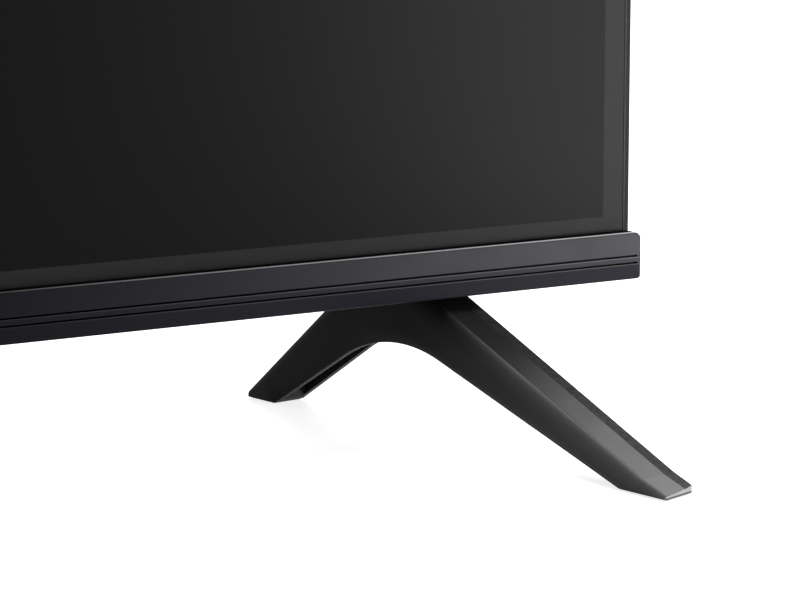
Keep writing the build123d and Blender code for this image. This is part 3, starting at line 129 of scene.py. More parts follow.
# Parts of a unit normal past which a surface counts as facing one way
OUTER_SIDE = 0.5
LEDGE_UP = 0.9
BAR_FRONT = -0.8
TOE_UP = 0.4
TOE_FRONT = 0.85

# The middle range of a noise, which an uneven number follows
NOISE_RANGE = (0.3, 0.7)


class Graph:
    """A material's nodes, with short ways to add and link them."""

    def __init__(self, name):
        self.material = bpy.data.materials.new(name)
        self.material.use_nodes = True
        self.tree = self.material.node_tree
        self.tree.nodes.clear()
        self.output = self.add("ShaderNodeOutputMaterial")
        self.shader = self.add("ShaderNodeBsdfPrincipled")
        self.link(self.shader.outputs["BSDF"], self.output.inputs["Surface"])
        self.coordinates = self.add("ShaderNodeTexCoord")
        self.place = self.coordinates.outputs["Object"]

    def add(self, kind, **settings):
        """A new node with some of its settings."""
        node = self.tree.nodes.new(kind)
        for key, value in settings.items():
            setattr(node, key, value)
        return node

    def link(self, source, target):
        """Lead an output to a socket."""
        self.tree.links.new(source, target)

    def feed(self, socket, value):
        """Put a number, a colour or another node's output on a socket."""
        if isinstance(value, tuple) and socket.type == "RGBA" and len(value) == 3:
            value = (*value, 1.0)
        if isinstance(value, (int, float, tuple)):
            socket.default_value = value
        else:
            self.link(value, socket)

    def set(self, name, value):
        """Put a value on one of the shader's sockets."""
        self.feed(self.shader.inputs[name], value)

    def scaled(self, x, y, z):
        """Object coordinates times a scale per axis."""
        mapping = self.add("ShaderNodeMapping")
        mapping.inputs["Scale"].default_value = (x, y, z)
        self.link(self.place, mapping.inputs["Vector"])
        return mapping.outputs["Vector"]

    def axis(self, name, vector=None):
        """One part of the place, or of another vector."""
        parts = self.add("ShaderNodeSeparateXYZ")
        self.link(vector or self.place, parts.inputs[0])
        return parts.outputs[name]

    def texture(self, kind, numbers, vector=None, **settings):
        """A texture's outputs, with its numbers set by their names."""
        node = self.add(kind, **settings)
        for name, value in numbers.items():
            node.inputs[name].default_value = value
        self.link(vector or self.place, node.inputs["Vector"])
        return node.outputs

    def noise(self, scale, detail, rough, vector=None):
        """A soft random pattern from zero to one."""
        numbers = {"Scale": scale, "Detail": detail, "Roughness": rough}
        return self.texture("ShaderNodeTexNoise", numbers, vector)["Fac"]

    def ramp(self, value, low, high, start=0.0, end=1.0):
        """Low to high, as a value goes from its start to its end."""
        node = self.add("ShaderNodeMapRange")
        node.inputs["From Min"].default_value = start
        node.inputs["From Max"].default_value = end
        self.feed(node.inputs["To Min"], low)
        self.feed(node.inputs["To Max"], high)
        self.link(value, node.inputs["Value"])
        return node.outputs["Result"]

    def rise(self, value, start, end):
        """Zero to one, as a value goes from its start to its end."""
        return self.ramp(value, 0.0, 1.0, start, end)

    def uneven(self, low, high, scale, detail=5.0, rough=0.65):
        """A number that wanders from low to high over the surface."""
        return self.ramp(self.noise(scale, detail, rough), low, high, *NOISE_RANGE)

    def math(self, operation, a, b=None, clamp=False):
        """One sum on numbers or outputs."""
        node = self.add("ShaderNodeMath", operation=operation, use_clamp=clamp)
        for socket, value in zip(node.inputs, (a, b)):
            if value is not None:
                self.feed(socket, value)
        return node.outputs["Value"]

    def times(self, a, b, clamp=False):
        """A product."""
        return self.math("MULTIPLY", a, b, clamp)

    def minus(self, a, b):
        """A difference."""
        return self.math("SUBTRACT", a, b)

    def above(self, value, limit):
        """One where a value is over a limit."""
        return self.math("GREATER_THAN", value, limit)

    def below(self, value, limit):
        """One where a value is under a limit."""
        return self.math("LESS_THAN", value, limit)

    def between(self, value, low, high):
        """One where a value is between two limits."""
        return self.times(self.above(value, low), self.below(value, high))

    def mix(self, factor, first, second):
        """The first colour at zero, the second at one."""
        node = self.add("ShaderNodeMix", data_type="RGBA")
        self.feed(node.inputs["Factor"], factor)
        colours = [s for s in node.inputs if s.type == "RGBA"]
        self.feed(colours[0], first)
        self.feed(colours[1], second)
        return [s for s in node.outputs if s.type == "RGBA"][0]

    def drift(self, dark, light, scale, detail=4.0, rough=0.6):
        """A colour that drifts slowly from dark to light over the surface."""
        return self.mix(self.noise(scale, detail, rough), dark, light)

    def bump(self, height, strength, depth, normal):
        """A normal, with a height's relief on it."""
        node = self.add("ShaderNodeBump")
        node.inputs["Strength"].default_value = strength
        node.inputs["Distance"].default_value = depth
        self.link(height, node.inputs["Height"])
        self.link(normal, node.inputs["Normal"])
        return node.outputs["Normal"]

    def grain(self, normal, scale, strength, depth, detail=2.0, rough=0.6):
        """A normal, with a fine random relief on it."""
        return self.bump(self.noise(scale, detail, rough), strength, depth, normal)

    def rounded(self, radius):
        """The normal, as if each edge had a small radius."""
        node = self.add("ShaderNodeBevel", samples=4)
        node.inputs["Radius"].default_value = radius
        return node.outputs["Normal"]

    def normal(self):
        """The way the surface faces."""
        return self.add("ShaderNodeNewGeometry").outputs["Normal"]

    def outward(self, normal):
        """How far a normal points away from the set's middle, on either side."""
        return self.times(self.axis("X", normal), self.math("SIGN", self.axis("X")))

    def edges(self, soft_normal, gain=6.0):
        """One along the edges, where the rounded normal leaves the flat one."""
        flat = self.add("ShaderNodeNewGeometry").outputs["True Normal"]
        dot = self.add("ShaderNodeVectorMath", operation="DOT_PRODUCT")
        self.link(soft_normal, dot.inputs[0])
        self.link(flat, dot.inputs[1])
        return self.times(self.minus(1.0, dot.outputs["Value"]), gain, clamp=True)

    def worn(self, soft_normal, scale, detail=4.0, rough=0.7):
        """One in patches along the edges, as wear."""
        patches = self.noise(scale, detail, rough)
        return self.times(self.edges(soft_normal), patches, clamp=True)


def plastic(name, dark, light, rough, spread=0.05, grain=2500.0, grain_mm=0.02, specular=0.5,
            wear=1.6):
    """A moulded plastic: slow colour drift, fine grain, uneven gloss and worn edges."""
    g = Graph(name)
    soft = g.rounded(0.15 * MM)
    paler = tuple(channel * wear + 0.002 for channel in light)
    body = g.drift(dark, light, scale=9.0)
    g.set("Base Color", g.mix(g.worn(soft, scale=120.0), body, paler))
    g.set("Roughness", g.uneven(rough - spread, rough + spread, scale=60.0))
    g.set("Specular IOR Level", specular)
    g.set("Normal", g.grain(soft, scale=grain, strength=0.6, depth=grain_mm * MM))
    return g.material


def metal(name, dark, light, rough, spread=0.08, stretch=(1.0, 1.0, 1.0), grain_mm=0.01,
          edge_mm=0.1):
    """Sheet or turned metal with a faint directional grain and brighter edges."""
    g = Graph(name)
    soft = g.rounded(edge_mm * MM)
    brushed = g.noise(scale=300.0, detail=4.0, rough=0.6, vector=g.scaled(*stretch))
    paler = tuple(min(channel * 1.15, 0.95) for channel in light)
    g.set("Base Color", g.mix(g.edges(soft), g.drift(dark, light, scale=25.0), paler))
    g.set("Metallic", 1.0)
    g.set("Roughness", g.ramp(brushed, rough - spread, rough + spread, *NOISE_RANGE))
    g.set("Normal", g.bump(brushed, strength=0.5, depth=grain_mm * MM, normal=soft))
    return g.material


def clear(name, tint, rough, density):
    """A clear or milky film or lens."""
    g = Graph(name)
    dimmer = tuple(channel * 0.96 for channel in tint)
    g.set("Base Color", g.drift(tint, dimmer, scale=30.0, detail=3.0, rough=0.5))
    g.set("Roughness", g.uneven(rough * 0.8, rough * 1.2, scale=400.0, detail=2.0, rough=0.5))
    g.set("Transmission Weight", density)
    g.set("IOR", 1.49)
    g.set("Normal", g.grain(g.rounded(0.1 * MM), scale=1500.0, strength=0.3, depth=0.01 * MM,
                            rough=0.5))
    return g.material


def board(name, mask_dark, mask_light, copper):
    """A circuit board: solder mask over tracks, with rows of small pads."""
    g = Graph(name)
    upright = g.add("ShaderNodeCombineXYZ")
    g.link(g.axis("X"), upright.inputs["X"])
    g.link(g.axis("Z"), upright.inputs["Y"])
    tracks = g.texture("ShaderNodeTexBrick",
                       {"Scale": 95.0, "Mortar Size": 0.035, "Mortar Smooth": 0.2},
                       upright.outputs[0], offset=0.37, squash=0.6, squash_frequency=3)["Fac"]
    mask = g.drift(mask_dark, mask_light, scale=18.0)
    lined = g.mix(g.times(tracks, 0.55), mask, mask_light)
    cells = g.texture("ShaderNodeTexVoronoi", {"Scale": 210.0}, feature="DISTANCE_TO_EDGE")
    pads = g.above(cells["Distance"], 0.34)
    g.set("Base Color", g.mix(pads, lined, copper))
    g.set("Roughness", g.uneven(0.3, 0.5, scale=200.0, detail=3.0, rough=0.6))
    g.set("Specular IOR Level", 0.45)
    g.set("Normal", g.bump(tracks, strength=0.4, depth=0.03 * MM, normal=g.rounded(0.1 * MM)))
    return g.material


def screen_material():
    """The panel: an anti-glare front, with the paler border round the active area."""
    g = Graph("panel_front")
    middle = g.below(g.math("ABSOLUTE", g.axis("X")), ACTIVE_HALF_WIDTH)
    active = g.times(middle, g.between(g.axis("Z"), ACTIVE_LOW, ACTIVE_HIGH))
    border = g.drift(grey(0.0195, 0.0004), grey(0.0220, 0.0005), scale=11.0, detail=3.0, rough=0.5)
    panel = g.drift(grey(0.0034, 0.0001), grey(0.0042, 0.0001), scale=6.0, detail=3.0, rough=0.5)
    g.set("Base Color", g.mix(active, border, panel))
    g.set("Roughness", g.uneven(0.30, 0.35, scale=700.0, detail=2.0, rough=0.5))
    g.set("Specular IOR Level", 0.036)
    g.set("Normal", g.grain(g.rounded(0.1 * MM), scale=4000.0, strength=0.4, depth=0.004 * MM,
                            detail=1.0, rough=0.5))
    return g.material


def bezel_material():
    """The frame: satin black, with a painted highlight on its inner lip and dull outer sides."""
    g = Graph("bezel_satin")
    soft = g.rounded(0.15 * MM)
    normal = g.normal()
    outward = g.outward(normal)
    inner = g.math("MAXIMUM", g.rise(outward, *TURNED_AWAY),
                   g.rise(g.axis("Z", normal), *TURNED_AWAY))
    lip = g.times(inner, g.below(g.axis("Y"), LIP_BACK))
    outer = g.above(outward, OUTER_SIDE)

    body = g.drift(grey(0.0030, 0.0002), grey(0.0048, 0.0004), scale=9.0)
    body = g.mix(g.worn(soft, scale=120.0), body, grey(0.010))
    # The inner lip is painted pale grey: a painted highlight along the frame's inner edge.
    lip_highlight = g.times(lip, g.uneven(0.8, 1.0, scale=20.0, detail=4.0, rough=0.6))
    g.set("Base Color", g.mix(lip_highlight, body, grey(0.16)))
    g.set("Specular Tint", g.mix(outer, grey(1.0), grey(0.35)))
    g.set("Roughness", g.ramp(outer, g.uneven(0.36, 0.46, scale=60.0), 0.9))
    g.set("Specular IOR Level", 0.06)
    g.set("Normal", g.grain(soft, scale=2500.0, strength=0.6, depth=0.01 * MM))
    return g.material


def bar_material():
    """The bar's blue-black gloss: a painted highlight on its rounded top, dull painted shade on its
    ledge and in its grooves.
    """
    g = Graph("bar_gloss")
    soft = g.rounded(0.25 * MM)
    normal = g.normal()
    forward = g.axis("Y", normal)
    height = g.axis("Z")
    from_middle = g.math("ABSOLUTE", g.axis("X"))

    body = g.drift((0.0012, 0.0010, 0.0034), (0.0020, 0.0018, 0.0046), scale=9.0)
    # Paler and bluer towards the ends: a painted reflection.
    body = g.mix(g.rise(from_middle, *PAINTED_REFLECTION_SPAN), body, (0.0210, 0.0200, 0.0275))
    # Edges paler in patches: partly wear, partly a painted highlight where the edges catch light.
    patches = g.ramp(g.noise(scale=140.0, detail=4.0, rough=0.7), 0.5, 1.0)
    body = g.mix(g.times(g.edges(soft, gain=4.0), patches, clamp=True), body, grey(0.055, 0.003))

    # A painted highlight on the rounded top edge, brighter towards the ends; the same grey paints
    # the lit lips below the grooves.
    shine = g.ramp(from_middle, 0.04, 0.40, *SHINE_SPAN)
    painted_highlight = g.add("ShaderNodeCombineColor")
    for channel in painted_highlight.inputs:
        g.link(shine, channel)
    high = g.rise(height, *HIGHLIGHT_SPAN)
    curved = g.times(g.rise(forward, *FACE_TURNS), g.rise(forward, *TOP_TURNS))
    body = g.mix(g.times(curved, high), body, painted_highlight.outputs[0])

    # The top ledge is painted near black and loses its gloss: painted shade between the bar and the
    # glass. The end below the highlight gets the same dark, dull band.
    ledge = g.above(g.axis("Z", normal), LEDGE_UP)
    end = g.times(g.rise(g.outward(normal), *END_TURNS), g.minus(1.0, high))
    dull = g.math("MAXIMUM", ledge, end)
    body = g.mix(dull, body, grey(0.0006))
    tint = g.mix(dull, grey(1.0), grey(0.06))

    front = g.below(forward, BAR_FRONT)
    deep = g.above(g.axis("Y"), FRONT_Y + GROOVE_MOUTH)
    # Below each groove a pale line, a painted highlight; inside it near black without gloss,
    # painted shade.
    for low in GROOVES:
        lip = g.between(height, low - GROOVE_LIP, low)
        body = g.mix(g.times(front, g.ramp(lip, 0.0, 0.17)), body, painted_highlight.outputs[0])
        inside = g.between(height, low - GROOVE_MARGIN, low + GROOVE_HEIGHT + GROOVE_MARGIN)
        groove = g.times(inside, deep)
        body = g.mix(groove, body, grey(0.0004))
        tint = g.mix(groove, tint, grey(0.0))

    g.set("Base Color", body)
    g.set("Specular Tint", tint)
    g.set("Roughness", g.ramp(dull, g.uneven(0.27, 0.33, scale=60.0), 1.0))
    g.set("Specular IOR Level", 0.075)
    g.set("Normal", g.grain(soft, scale=4000.0, strength=0.6, depth=0.005 * MM))
    return g.material


def foot_material(name, painted_cheek):
    """Satin black, with a matt strip along the outer edge, painted shade, and painted highlights at
    the front.
    """
    g = Graph(name)
    soft = g.rounded(0.2 * MM)
    out = g.minus(g.math("ABSOLUTE", g.axis("X")), TOE.x * MM)
    back = g.minus(g.axis("Y"), TOE.y * MM)
    across = g.math("ADD", g.times(out, math.cos(FOOT_SPLAY)), g.times(back, math.sin(FOOT_SPLAY)))
    strip = g.rise(across, STRIP_EDGE - STRIP_BLUR, STRIP_EDGE + STRIP_BLUR)
    upward = g.axis("Z", g.coordinates.outputs["Normal"])
    matt_and_shaded = g.math("MAXIMUM", strip, g.rise(upward, *TURNED_AWAY))
    normal = g.normal()
    forward = g.minus(g.times(g.outward(normal), math.sin(FOOT_SPLAY)),
                      g.times(g.axis("Y", normal), math.cos(FOOT_SPLAY)))
    uneven = g.uneven(0.7, 1.0, scale=45.0, detail=4.0, rough=0.6)

    if painted_cheek:
        # Painted shade: darker towards the back of the leg and right under the bar, lighter towards
        # the front.
        body = g.mix(g.rise(g.axis("Y"), *LEG_SPAN), grey(0.0085, 0.0001), grey(0.0510, 0.0004))
        body = g.mix(g.rise(g.axis("Z"), *SHADED_SPAN), grey(0.0022), body)
        # A painted highlight on the rounds that face forward, uneven, fading towards the back.
        rim = g.times(g.rise(forward, *RIM_TURNS), uneven)
        rim = g.times(rim, g.ramp(g.axis("Y"), 0.08, 1.0, *RIM_SPAN))
        body = g.mix(rim, body, grey(0.150, 0.001))
    else:
        body = g.drift(grey(0.0030, 0.0001), grey(0.0048, 0.0002), scale=14.0)
        speckle = g.rise(g.noise(scale=800.0, detail=2.0, rough=0.6), 0.40, 0.62)
        mottled = g.mix(speckle, grey(0.0004), grey(0.0150, 0.0002))
        # Undersides painted darker, as painted shade; the strip is mottled.
        body = g.mix(matt_and_shaded, body, g.mix(strip, grey(0.0022), mottled))
        body = g.mix(g.worn(soft, scale=150.0), body, grey(0.016))
        # Up-facing faces near the toe painted paler in patches: a painted highlight.
        lit_facet = g.times(g.rise(g.axis("Y"), *LIT_FACET_SPAN), g.above(upward, TOE_UP))
        lit_facet = g.times(g.times(lit_facet, uneven), g.minus(1.0, strip))
        body = g.mix(lit_facet, body, grey(0.085, 0.001))

    # The toe's front end painted pale grey, paler above its lowest edge: a painted highlight.
    tip = g.times(g.above(forward, TOE_FRONT), g.below(g.axis("Y"), TIP_BACK))
    tip_highlight = g.mix(g.above(g.axis("Z"), TIP_EDGE), grey(0.15), grey(0.55))
    g.set("Base Color", g.mix(g.times(tip, uneven), body, tip_highlight))
    smooth = g.uneven(0.42, 0.49, scale=70.0)
    coarse = g.uneven(0.52, 0.70, scale=900.0, detail=3.0, rough=0.6)
    g.set("Roughness", g.ramp(matt_and_shaded, smooth, coarse))
    g.set("Specular IOR Level", 0.03 if painted_cheek else 0.15)
    fine = g.grain(soft, scale=2600.0, strength=0.5, depth=0.008 * MM)
    grained = g.times(g.noise(scale=1300.0, detail=3.0, rough=0.6), matt_and_shaded)
    g.set("Normal", g.bump(grained, strength=0.7, depth=0.07 * MM, normal=fine))
    return g.material


def cover_material():
    """The back: spark-grained black plastic with an uneven, dull gloss."""
    g = Graph("cover_grain")
    soft = g.rounded(0.3 * MM)
    cells = g.texture("ShaderNodeTexVoronoi", {"Scale": 1100.0}, feature="SMOOTH_F1")
    body = g.drift(grey(0.0085, 0.0005), grey(0.0185, 0.0005), scale=5.0, detail=5.0)
    g.set("Base Color", g.mix(g.worn(soft, scale=90.0, detail=5.0), body, grey(0.035, 0.001)))
    g.set("Roughness", g.uneven(0.48, 0.60, scale=14.0))
    g.set("Specular IOR Level", 0.35)
    g.set("Normal", g.bump(cells["Distance"], strength=1.0, depth=0.16 * MM, normal=soft))
    return g.material


def use(material, *names):
    """Give a material to the CAD nodes of these names."""
    for name in names:
        mesh = nodes[name].data
        mesh.materials.clear()
        mesh.materials.append(material)


# Outside
use(screen_material(), "lcd_cell")
use(bezel_material(), "bezel_frame", "sensor_pod")
use(bar_material(), "bottom_bar")
use(foot_material("foot_satin", painted_cheek=False), "foot_right", "foot_left")
use(cover_material(), "rear_cover")
use(plastic("pad_rubber", grey(0.012), grey(0.022, -0.001), 0.82, specular=0.2, grain=1600.0,
            grain_mm=0.05), "foot_pads")
use(plastic("window_dark", (0.012, 0.002, 0.003), (0.022, 0.004, 0.005), 0.12, spread=0.03,
            grain_mm=0.002), "sensor_window")
use(plastic("key_black", grey(0.008), grey(0.013), 0.34, specular=0.35), "power_key")

# Metal
use(metal("screw_black", grey(0.025, 0.001), grey(0.05, 0.002), 0.38, edge_mm=0.15),
    "bar_screws", "cover_screws", "foot_screws")
use(metal("screw_steel", grey(0.50, -0.01), (0.66, 0.65, 0.62), 0.3), "chassis_screws")
use(metal("tray_steel", (0.52, 0.53, 0.54), grey(0.66, 0.01), 0.34, stretch=(0.1, 1.0, 1.0)),
    "backlight_tray", "board_posts", "vesa_standoffs", "foot_bracket_right", "foot_bracket_left")
use(metal("socket_metal", (0.58, 0.57, 0.54), (0.72, 0.70, 0.67), 0.24, spread=0.06,
          stretch=(1.0, 0.15, 1.0)),
    "hdmi_sockets", "usb_socket", "lan_socket", "antenna_socket", "mains_pins")
use(metal("sink_aluminium", grey(0.60, 0.02), grey(0.74, 0.02), 0.36, stretch=(1.0, 1.0, 0.1),
          grain_mm=0.03), "heat_sink", "power_sinks")

# Light and films
use(clear("clear_film", (0.88, 0.90, 0.91), 0.25, 0.7), "prism_film")
use(clear("clear_lens", grey(0.93), 0.15, 0.85), "light_lenses", "diffuser_posts")
use(plastic("white_film", grey(0.80, -0.01), grey(0.86, -0.01), 0.55, grain=900.0, wear=1.0),
    "diffuser_film", "diffuser_plate", "reflector_sheet")
use(plastic("white_plastic", grey(0.72, -0.03), grey(0.80, -0.03), 0.45, wear=1.0),
    "film_guide", "board_headers")
use(plastic("strip_white", grey(0.74, -0.02), grey(0.82, -0.02), 0.4, wear=0.9), "light_strips")
use(plastic("foam_tape", grey(0.014), grey(0.026), 0.92, specular=0.15, grain=900.0,
            grain_mm=0.12), "cell_tape")
use(plastic("film_amber", (0.34, 0.16, 0.03), (0.46, 0.24, 0.06), 0.25, wear=1.1), "cell_flexes")

# Boards, sound and leads
use(board("board_green", (0.010, 0.065, 0.030), (0.022, 0.125, 0.060), (0.55, 0.50, 0.35)),
    "source_board", "main_board", "wifi_module", "sensor_board")
use(board("board_tan", (0.30, 0.20, 0.08), (0.42, 0.30, 0.14), (0.62, 0.60, 0.56)), "power_board")
use(plastic("chip_black", grey(0.012), grey(0.020), 0.42, specular=0.4, grain_mm=0.03),
    "main_chips", "av_jack", "mains_inlet")
use(plastic("coil_yellow", (0.50, 0.36, 0.05), (0.64, 0.48, 0.10), 0.35, wear=1.1), "transformer")
use(plastic("cap_black", (0.012, 0.013, 0.022), (0.02, 0.021, 0.034), 0.28), "capacitors")
use(plastic("speaker_black", grey(0.010), grey(0.016), 0.5),
    "speaker_box_right", "speaker_box_left")
use(plastic("cone_grey", grey(0.045, -0.001), grey(0.075, -0.002), 0.7, grain=1200.0,
            grain_mm=0.06), "speaker_driver_right", "speaker_driver_left")
use(plastic("lead_black", grey(0.012), grey(0.022), 0.48, grain=700.0, grain_mm=0.05),
    "speaker_leads", "mains_leads", "wifi_lead", "sensor_lead")
use(plastic("lead_white", grey(0.58, -0.03), grey(0.70, -0.04), 0.45, wear=1.0),
    "led_lead", "board_lead")
use(plastic("ribbon_white", (0.68, 0.69, 0.70), grey(0.80), 0.3, wear=1.0), "screen_ribbon")


def add_object(name, data):
    """Put an object in the scene."""
    thing = bpy.data.objects.new(name, data)
    bpy.context.scene.collection.objects.link(thing)
    return thing


def add_piece(name, mesh, material, body):
    """Put a finished mesh in the scene, with its material and body."""
    mesh.materials.append(material)
    piece = add_object(name, mesh)
    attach(piece, body)


# The foot's side, in millimetres: points as a run along the foot from its toe and a height
BAR_GAP = 0.1
SHELF_THICKNESS = 2.0
CHEEK_TOP = BAR_UNDER / MM - BAR_GAP
BODY_LOW = BAR_UNDER / MM + SHELF_THICKNESS
PAD_PROUD = 0.4
TOE_TOP = (0.0, 1.5)
KNEE = (10.0, 4.8)
RIDGE_END = (0.5563 * FOOT_LENGTH, BODY_LOW)
BACK_START = (0.7026 * FOOT_LENGTH, BODY_LOW)
HEEL = (FOOT_LENGTH - 0.6, 2.7)
ARCH_START = (19.0, PAD_PROUD)
ARCH_PEAK = (0.6297 * FOOT_LENGTH, PAD_PROUD + 34.4)
ARCH_END = (183.7, PAD_PROUD)
ARCH_RADIUS = 59.0
ARCH_STEPS = 16

# The bulged inner side: how far it swells, the widths of its rounds, half the run over which
# they change, how far its flat back is sunk into the foot, and the steps of its mesh
BULGE = 2.0
WIDE_ROUND = 7.0
SHORT_ROUND = 3.2
ROUND_CHANGE = 15.0
SUNK_BACK = 0.12
HEEL_THICKNESS = 0.01
FINE_STEP = 0.15
FINE_STEPS = 14
WIDE_STEP = 0.9
HEIGHT_STEPS = 26


def arch_points():
    """The arch's rounded crown, from the toe's side to the heel's."""
    front = math.atan2(ARCH_PEAK[1] - PAD_PROUD, ARCH_PEAK[0] - ARCH_START[0])
    back = math.atan2(ARCH_PEAK[1] - PAD_PROUD, ARCH_END[0] - ARCH_PEAK[0])
    tangent = ARCH_RADIUS * math.tan((front + back) / 2)
    start = (ARCH_PEAK[0] - tangent * math.cos(front), ARCH_PEAK[1] - tangent * math.sin(front))
    centre = (start[0] + ARCH_RADIUS * math.sin(front),
              start[1] - ARCH_RADIUS * math.cos(front))
    angles = [front - (front + back) * step / ARCH_STEPS for step in range(ARCH_STEPS + 1)]
    return [(centre[0] - ARCH_RADIUS * math.sin(angle), centre[1] + ARCH_RADIUS * math.cos(angle))
            for angle in angles]


TOE_LINE = [(0.0, PAD_PROUD), TOE_TOP]
RIDGE_LINE = [TOE_TOP, KNEE, RIDGE_END]
BACK_LINE = [BACK_START, HEEL, (FOOT_LENGTH, PAD_PROUD)]
TOP_LINE = [*RIDGE_LINE, BACK_START, HEEL, (FOOT_LENGTH, PAD_PROUD + HEEL_THICKNESS)]
UNDER_LINE = [(0.0, PAD_PROUD), ARCH_START, *arch_points(), ARCH_END, (FOOT_LENGTH, PAD_PROUD)]


def level(line, run):
    """The height of a line of points at a place along the foot."""
    for (u0, z0), (u1, z1) in zip(line, line[1:]):
        if run <= u1:
            return z0 + (z1 - z0) * (run - u0) / (u1 - u0)
    return line[-1][1]


def within(share):
    """A share, kept from zero to one."""
    return min(1.0, max(0.0, share))


def away(point, line):
    """The distance from a point to a line of points."""
    distances = []
    for (u0, z0), (u1, z1) in zip(line, line[1:]):
        du, dz = u1 - u0, z1 - z0
        share = within(((point[0] - u0) * du + (point[1] - z0) * dz) / (du * du + dz * dz))
        distances.append(math.hypot(point[0] - u0 - share * du, point[1] - z0 - share * dz))
    return min(distances)


def swelling(point):
    """How far the inner side stands out at a point: all of its bulge, less near each edge."""
    rear_share = within((point[0] - ARCH_PEAK[0] + ROUND_CHANGE) / (2 * ROUND_CHANGE))
    under_round = SHORT_ROUND + (WIDE_ROUND - SHORT_ROUND) * rear_share
    near = min(1.0, away(point, RIDGE_LINE) / WIDE_ROUND, away(point, UNDER_LINE) / under_round,
               away(point, BACK_LINE) / SHORT_ROUND, away(point, TOE_LINE) / SHORT_ROUND)
    return BULGE * math.sqrt(1 - (1 - near) ** 2)


def cheek_runs():
    """Places along the foot, close together at both ends."""
    fine = [FINE_STEP * step for step in range(FINE_STEPS)]
    fine_length = FINE_STEP * FINE_STEPS
    wide_steps = int((FOOT_LENGTH - 2 * fine_length) / WIDE_STEP)
    wide = [fine_length + WIDE_STEP * step for step in range(wide_steps + 1)]
    return fine + wide + [FOOT_LENGTH - fine_length + run for run in fine]


def cheek_grid(build, side, swollen):
    """Columns of points over the foot's side, on its swollen face or on the flat one behind it."""
    grid = []
    for run in cheek_runs():
        low = level(UNDER_LINE, run)
        high = min(level(TOP_LINE, run), CHEEK_TOP)
        column = []
        for step in range(HEIGHT_STEPS + 1):
            share = (1 - math.cos(math.pi * step / HEIGHT_STEPS)) / 2
            height = low + (high - low) * share
            out = -swelling((run, height)) if swollen else SUNK_BACK
            x = TOE.x - math.sin(FOOT_SPLAY) * run + math.cos(FOOT_SPLAY) * out
            y = TOE.y + math.cos(FOOT_SPLAY) * run + math.sin(FOOT_SPLAY) * out
            column.append(build.verts.new((side * x * MM, y * MM, height * MM)))
        grid.append(column)
    return grid


def bridge(build, first, second):
    """Faces between two rows of points."""
    for index in range(len(first) - 1):
        build.faces.new((first[index], second[index], second[index + 1], first[index + 1]))


def foot_cheek(name, side, material):
    """The inner side of a foot: it swells out, with wide rounds where the foot faces forward."""
    build = bmesh.new()
    front = cheek_grid(build, side, swollen=True)
    rear = cheek_grid(build, side, swollen=False)
    for grid in (front, rear):
        for first, second in zip(grid, grid[1:]):
            bridge(build, first, second)
    for end in (0, -1):
        bridge(build, front[end], rear[end])
        bridge(build, [column[end] for column in front], [column[end] for column in rear])
    bmesh.ops.recalc_face_normals(build, faces=build.faces)
    mesh = bpy.data.meshes.new(name)
    build.to_mesh(mesh)
    build.free()
    mesh.shade_smooth()
    add_piece(name, mesh, material, "set")


# The inner sides carry painted shade and painted highlights.
foot_painted_cheek = foot_material("foot_satin_painted_cheek", painted_cheek=True)
foot_cheek("foot_cheek_right", 1, foot_painted_cheek)
foot_cheek("foot_cheek_left", -1, foot_painted_cheek)


def aim(thing, direction):
    """Turn a camera or a lamp to look along a direction."""
    thing.rotation_euler = direction.to_track_quat("-Z", "Y").to_euler()


# Camera at the photograph's place, with its long lens
CAMERA_X, CAMERA_BACK, CAMERA_HEIGHT = metres(-91.6, 751.8, 196.35)
CAMERA_YAW = math.radians(32.66)
CAMERA_PITCH = math.radians(9.42)
camera_data = bpy.data.cameras.new("camera")
camera_data.lens = 134.22
camera_data.sensor_width = 36.0
camera_data.clip_start = 10.0 * MM
camera = add_object("camera", camera_data)
camera.location = (CAMERA_X, FRONT_Y - CAMERA_BACK, CAMERA_HEIGHT)
aim(camera, Vector((math.sin(CAMERA_YAW) * math.cos(CAMERA_PITCH),
                    math.cos(CAMERA_YAW) * math.cos(CAMERA_PITCH), -math.sin(CAMERA_PITCH))))
bpy.context.scene.camera = camera


def background_rays(tree):
    """One for the rays that see the surroundings straight, in gloss or through glass."""
    path = tree.nodes.new("ShaderNodeLightPath")
    total = path.outputs["Is Camera Ray"]
    for name in ("Is Glossy Ray", "Is Transmission Ray"):
        node = tree.nodes.new("ShaderNodeMath")
        node.operation = "ADD"
        node.use_clamp = True
        tree.links.new(total, node.inputs[0])
        tree.links.new(path.outputs[name], node.inputs[1])
        total = node.outputs[0]
    return total


def by_rays(tree, as_light, as_seen, socket):
    """Set a strength to one value as light, and to another where the surroundings are seen."""
    node = tree.nodes.new("ShaderNodeMapRange")
    node.inputs["To Min"].default_value = as_light
    node.inputs["To Max"].default_value = as_seen
    tree.links.new(background_rays(tree), node.inputs["Value"])
    tree.links.new(node.outputs["Result"], socket)


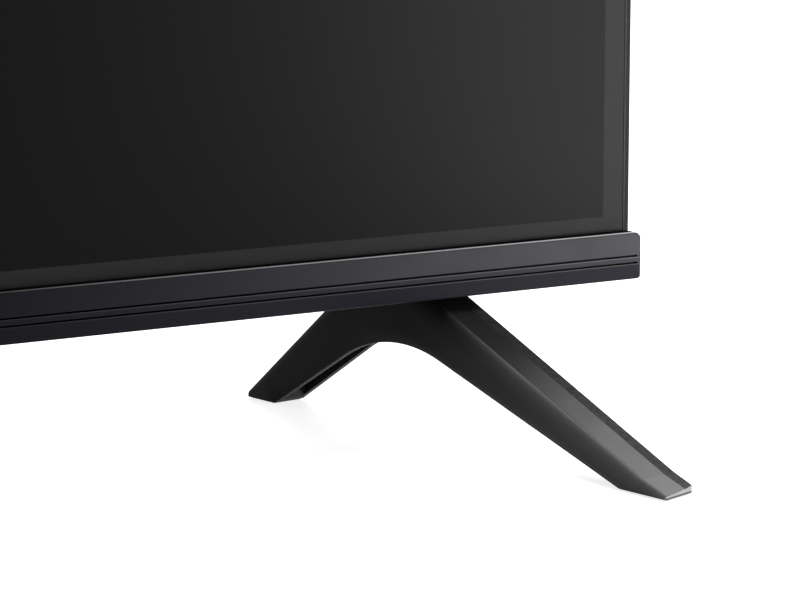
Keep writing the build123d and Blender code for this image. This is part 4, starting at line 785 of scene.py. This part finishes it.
# Floor: pale, white where it is seen and see-through from below
FLOOR_HALF = 30.0
FLOOR_GLOW = 0.8
corners = [(x * FLOOR_HALF, y * FLOOR_HALF, 0.0) for x, y in ((-1, -1), (1, -1), (1, 1), (-1, 1))]
floor_mesh = bpy.data.meshes.new("floor")
floor_mesh.from_pydata(corners, [], [(0, 1, 2, 3)])
floor = add_object("floor", floor_mesh)
paint = Graph("floor_white")
paint.set("Base Color", grey(0.80))
paint.set("Roughness", 0.9)
paint.set("Specular IOR Level", 0.1)
paint.set("Emission Color", grey(1.0))
by_rays(paint.tree, 0.0, FLOOR_GLOW, paint.shader.inputs["Emission Strength"])
either_side = paint.add("ShaderNodeMixShader")
from_below = paint.add("ShaderNodeNewGeometry").outputs["Backfacing"]
see_through = paint.add("ShaderNodeBsdfTransparent").outputs["BSDF"]
sources = (from_below, paint.shader.outputs["BSDF"], see_through)
for source, socket in zip(sources, either_side.inputs):
    paint.link(source, socket)
paint.link(either_side.outputs["Shader"], paint.output.inputs["Surface"])
floor_mesh.materials.append(paint.material)

# World: a weak white light, seen as white
WORLD_LIGHT = 0.25
WORLD_SEEN = 1.0
world = bpy.data.worlds.new("studio")
world.use_nodes = True
bpy.context.scene.world = world
background = world.node_tree.nodes["Background"]
background.inputs["Color"].default_value = (1.0, 1.0, 1.0, 1.0)
by_rays(world.node_tree, WORLD_LIGHT, WORLD_SEEN, background.inputs["Strength"])


def softbox(name, place, target, width, height, radiance):
    """A rectangular lamp of a given size and brightness, turned to the object."""
    data = bpy.data.lights.new(name, "AREA")
    data.shape = "RECTANGLE"
    data.size = width
    data.size_y = height
    data.energy = radiance * math.pi * width * height
    lamp = add_object(name, data)
    lamp.location = place
    aim(lamp, Vector(target) - Vector(place))
    lamp.visible_camera = False


softbox("front_right", place=(1.25, -0.95, 0.07), target=(0.42, 0.0, 0.08),
        width=0.40, height=0.30, radiance=24.0)
softbox("back_right", place=(1.75, 1.01, 1.57), target=(0.42, -0.05, 0.03),
        width=1.5, height=1.0, radiance=5.8)
softbox("floor_right", place=(0.80, -0.36, 0.004), target=(0.80, -0.36, 1.0),
        width=0.26, height=0.26, radiance=24.0)
softbox("top", place=(0.5, -0.25, 1.7), target=(0.5, -0.2, 0.0),
        width=2.4, height=0.40, radiance=8.0)

bpy.context.scene.view_settings.view_transform = "Standard"
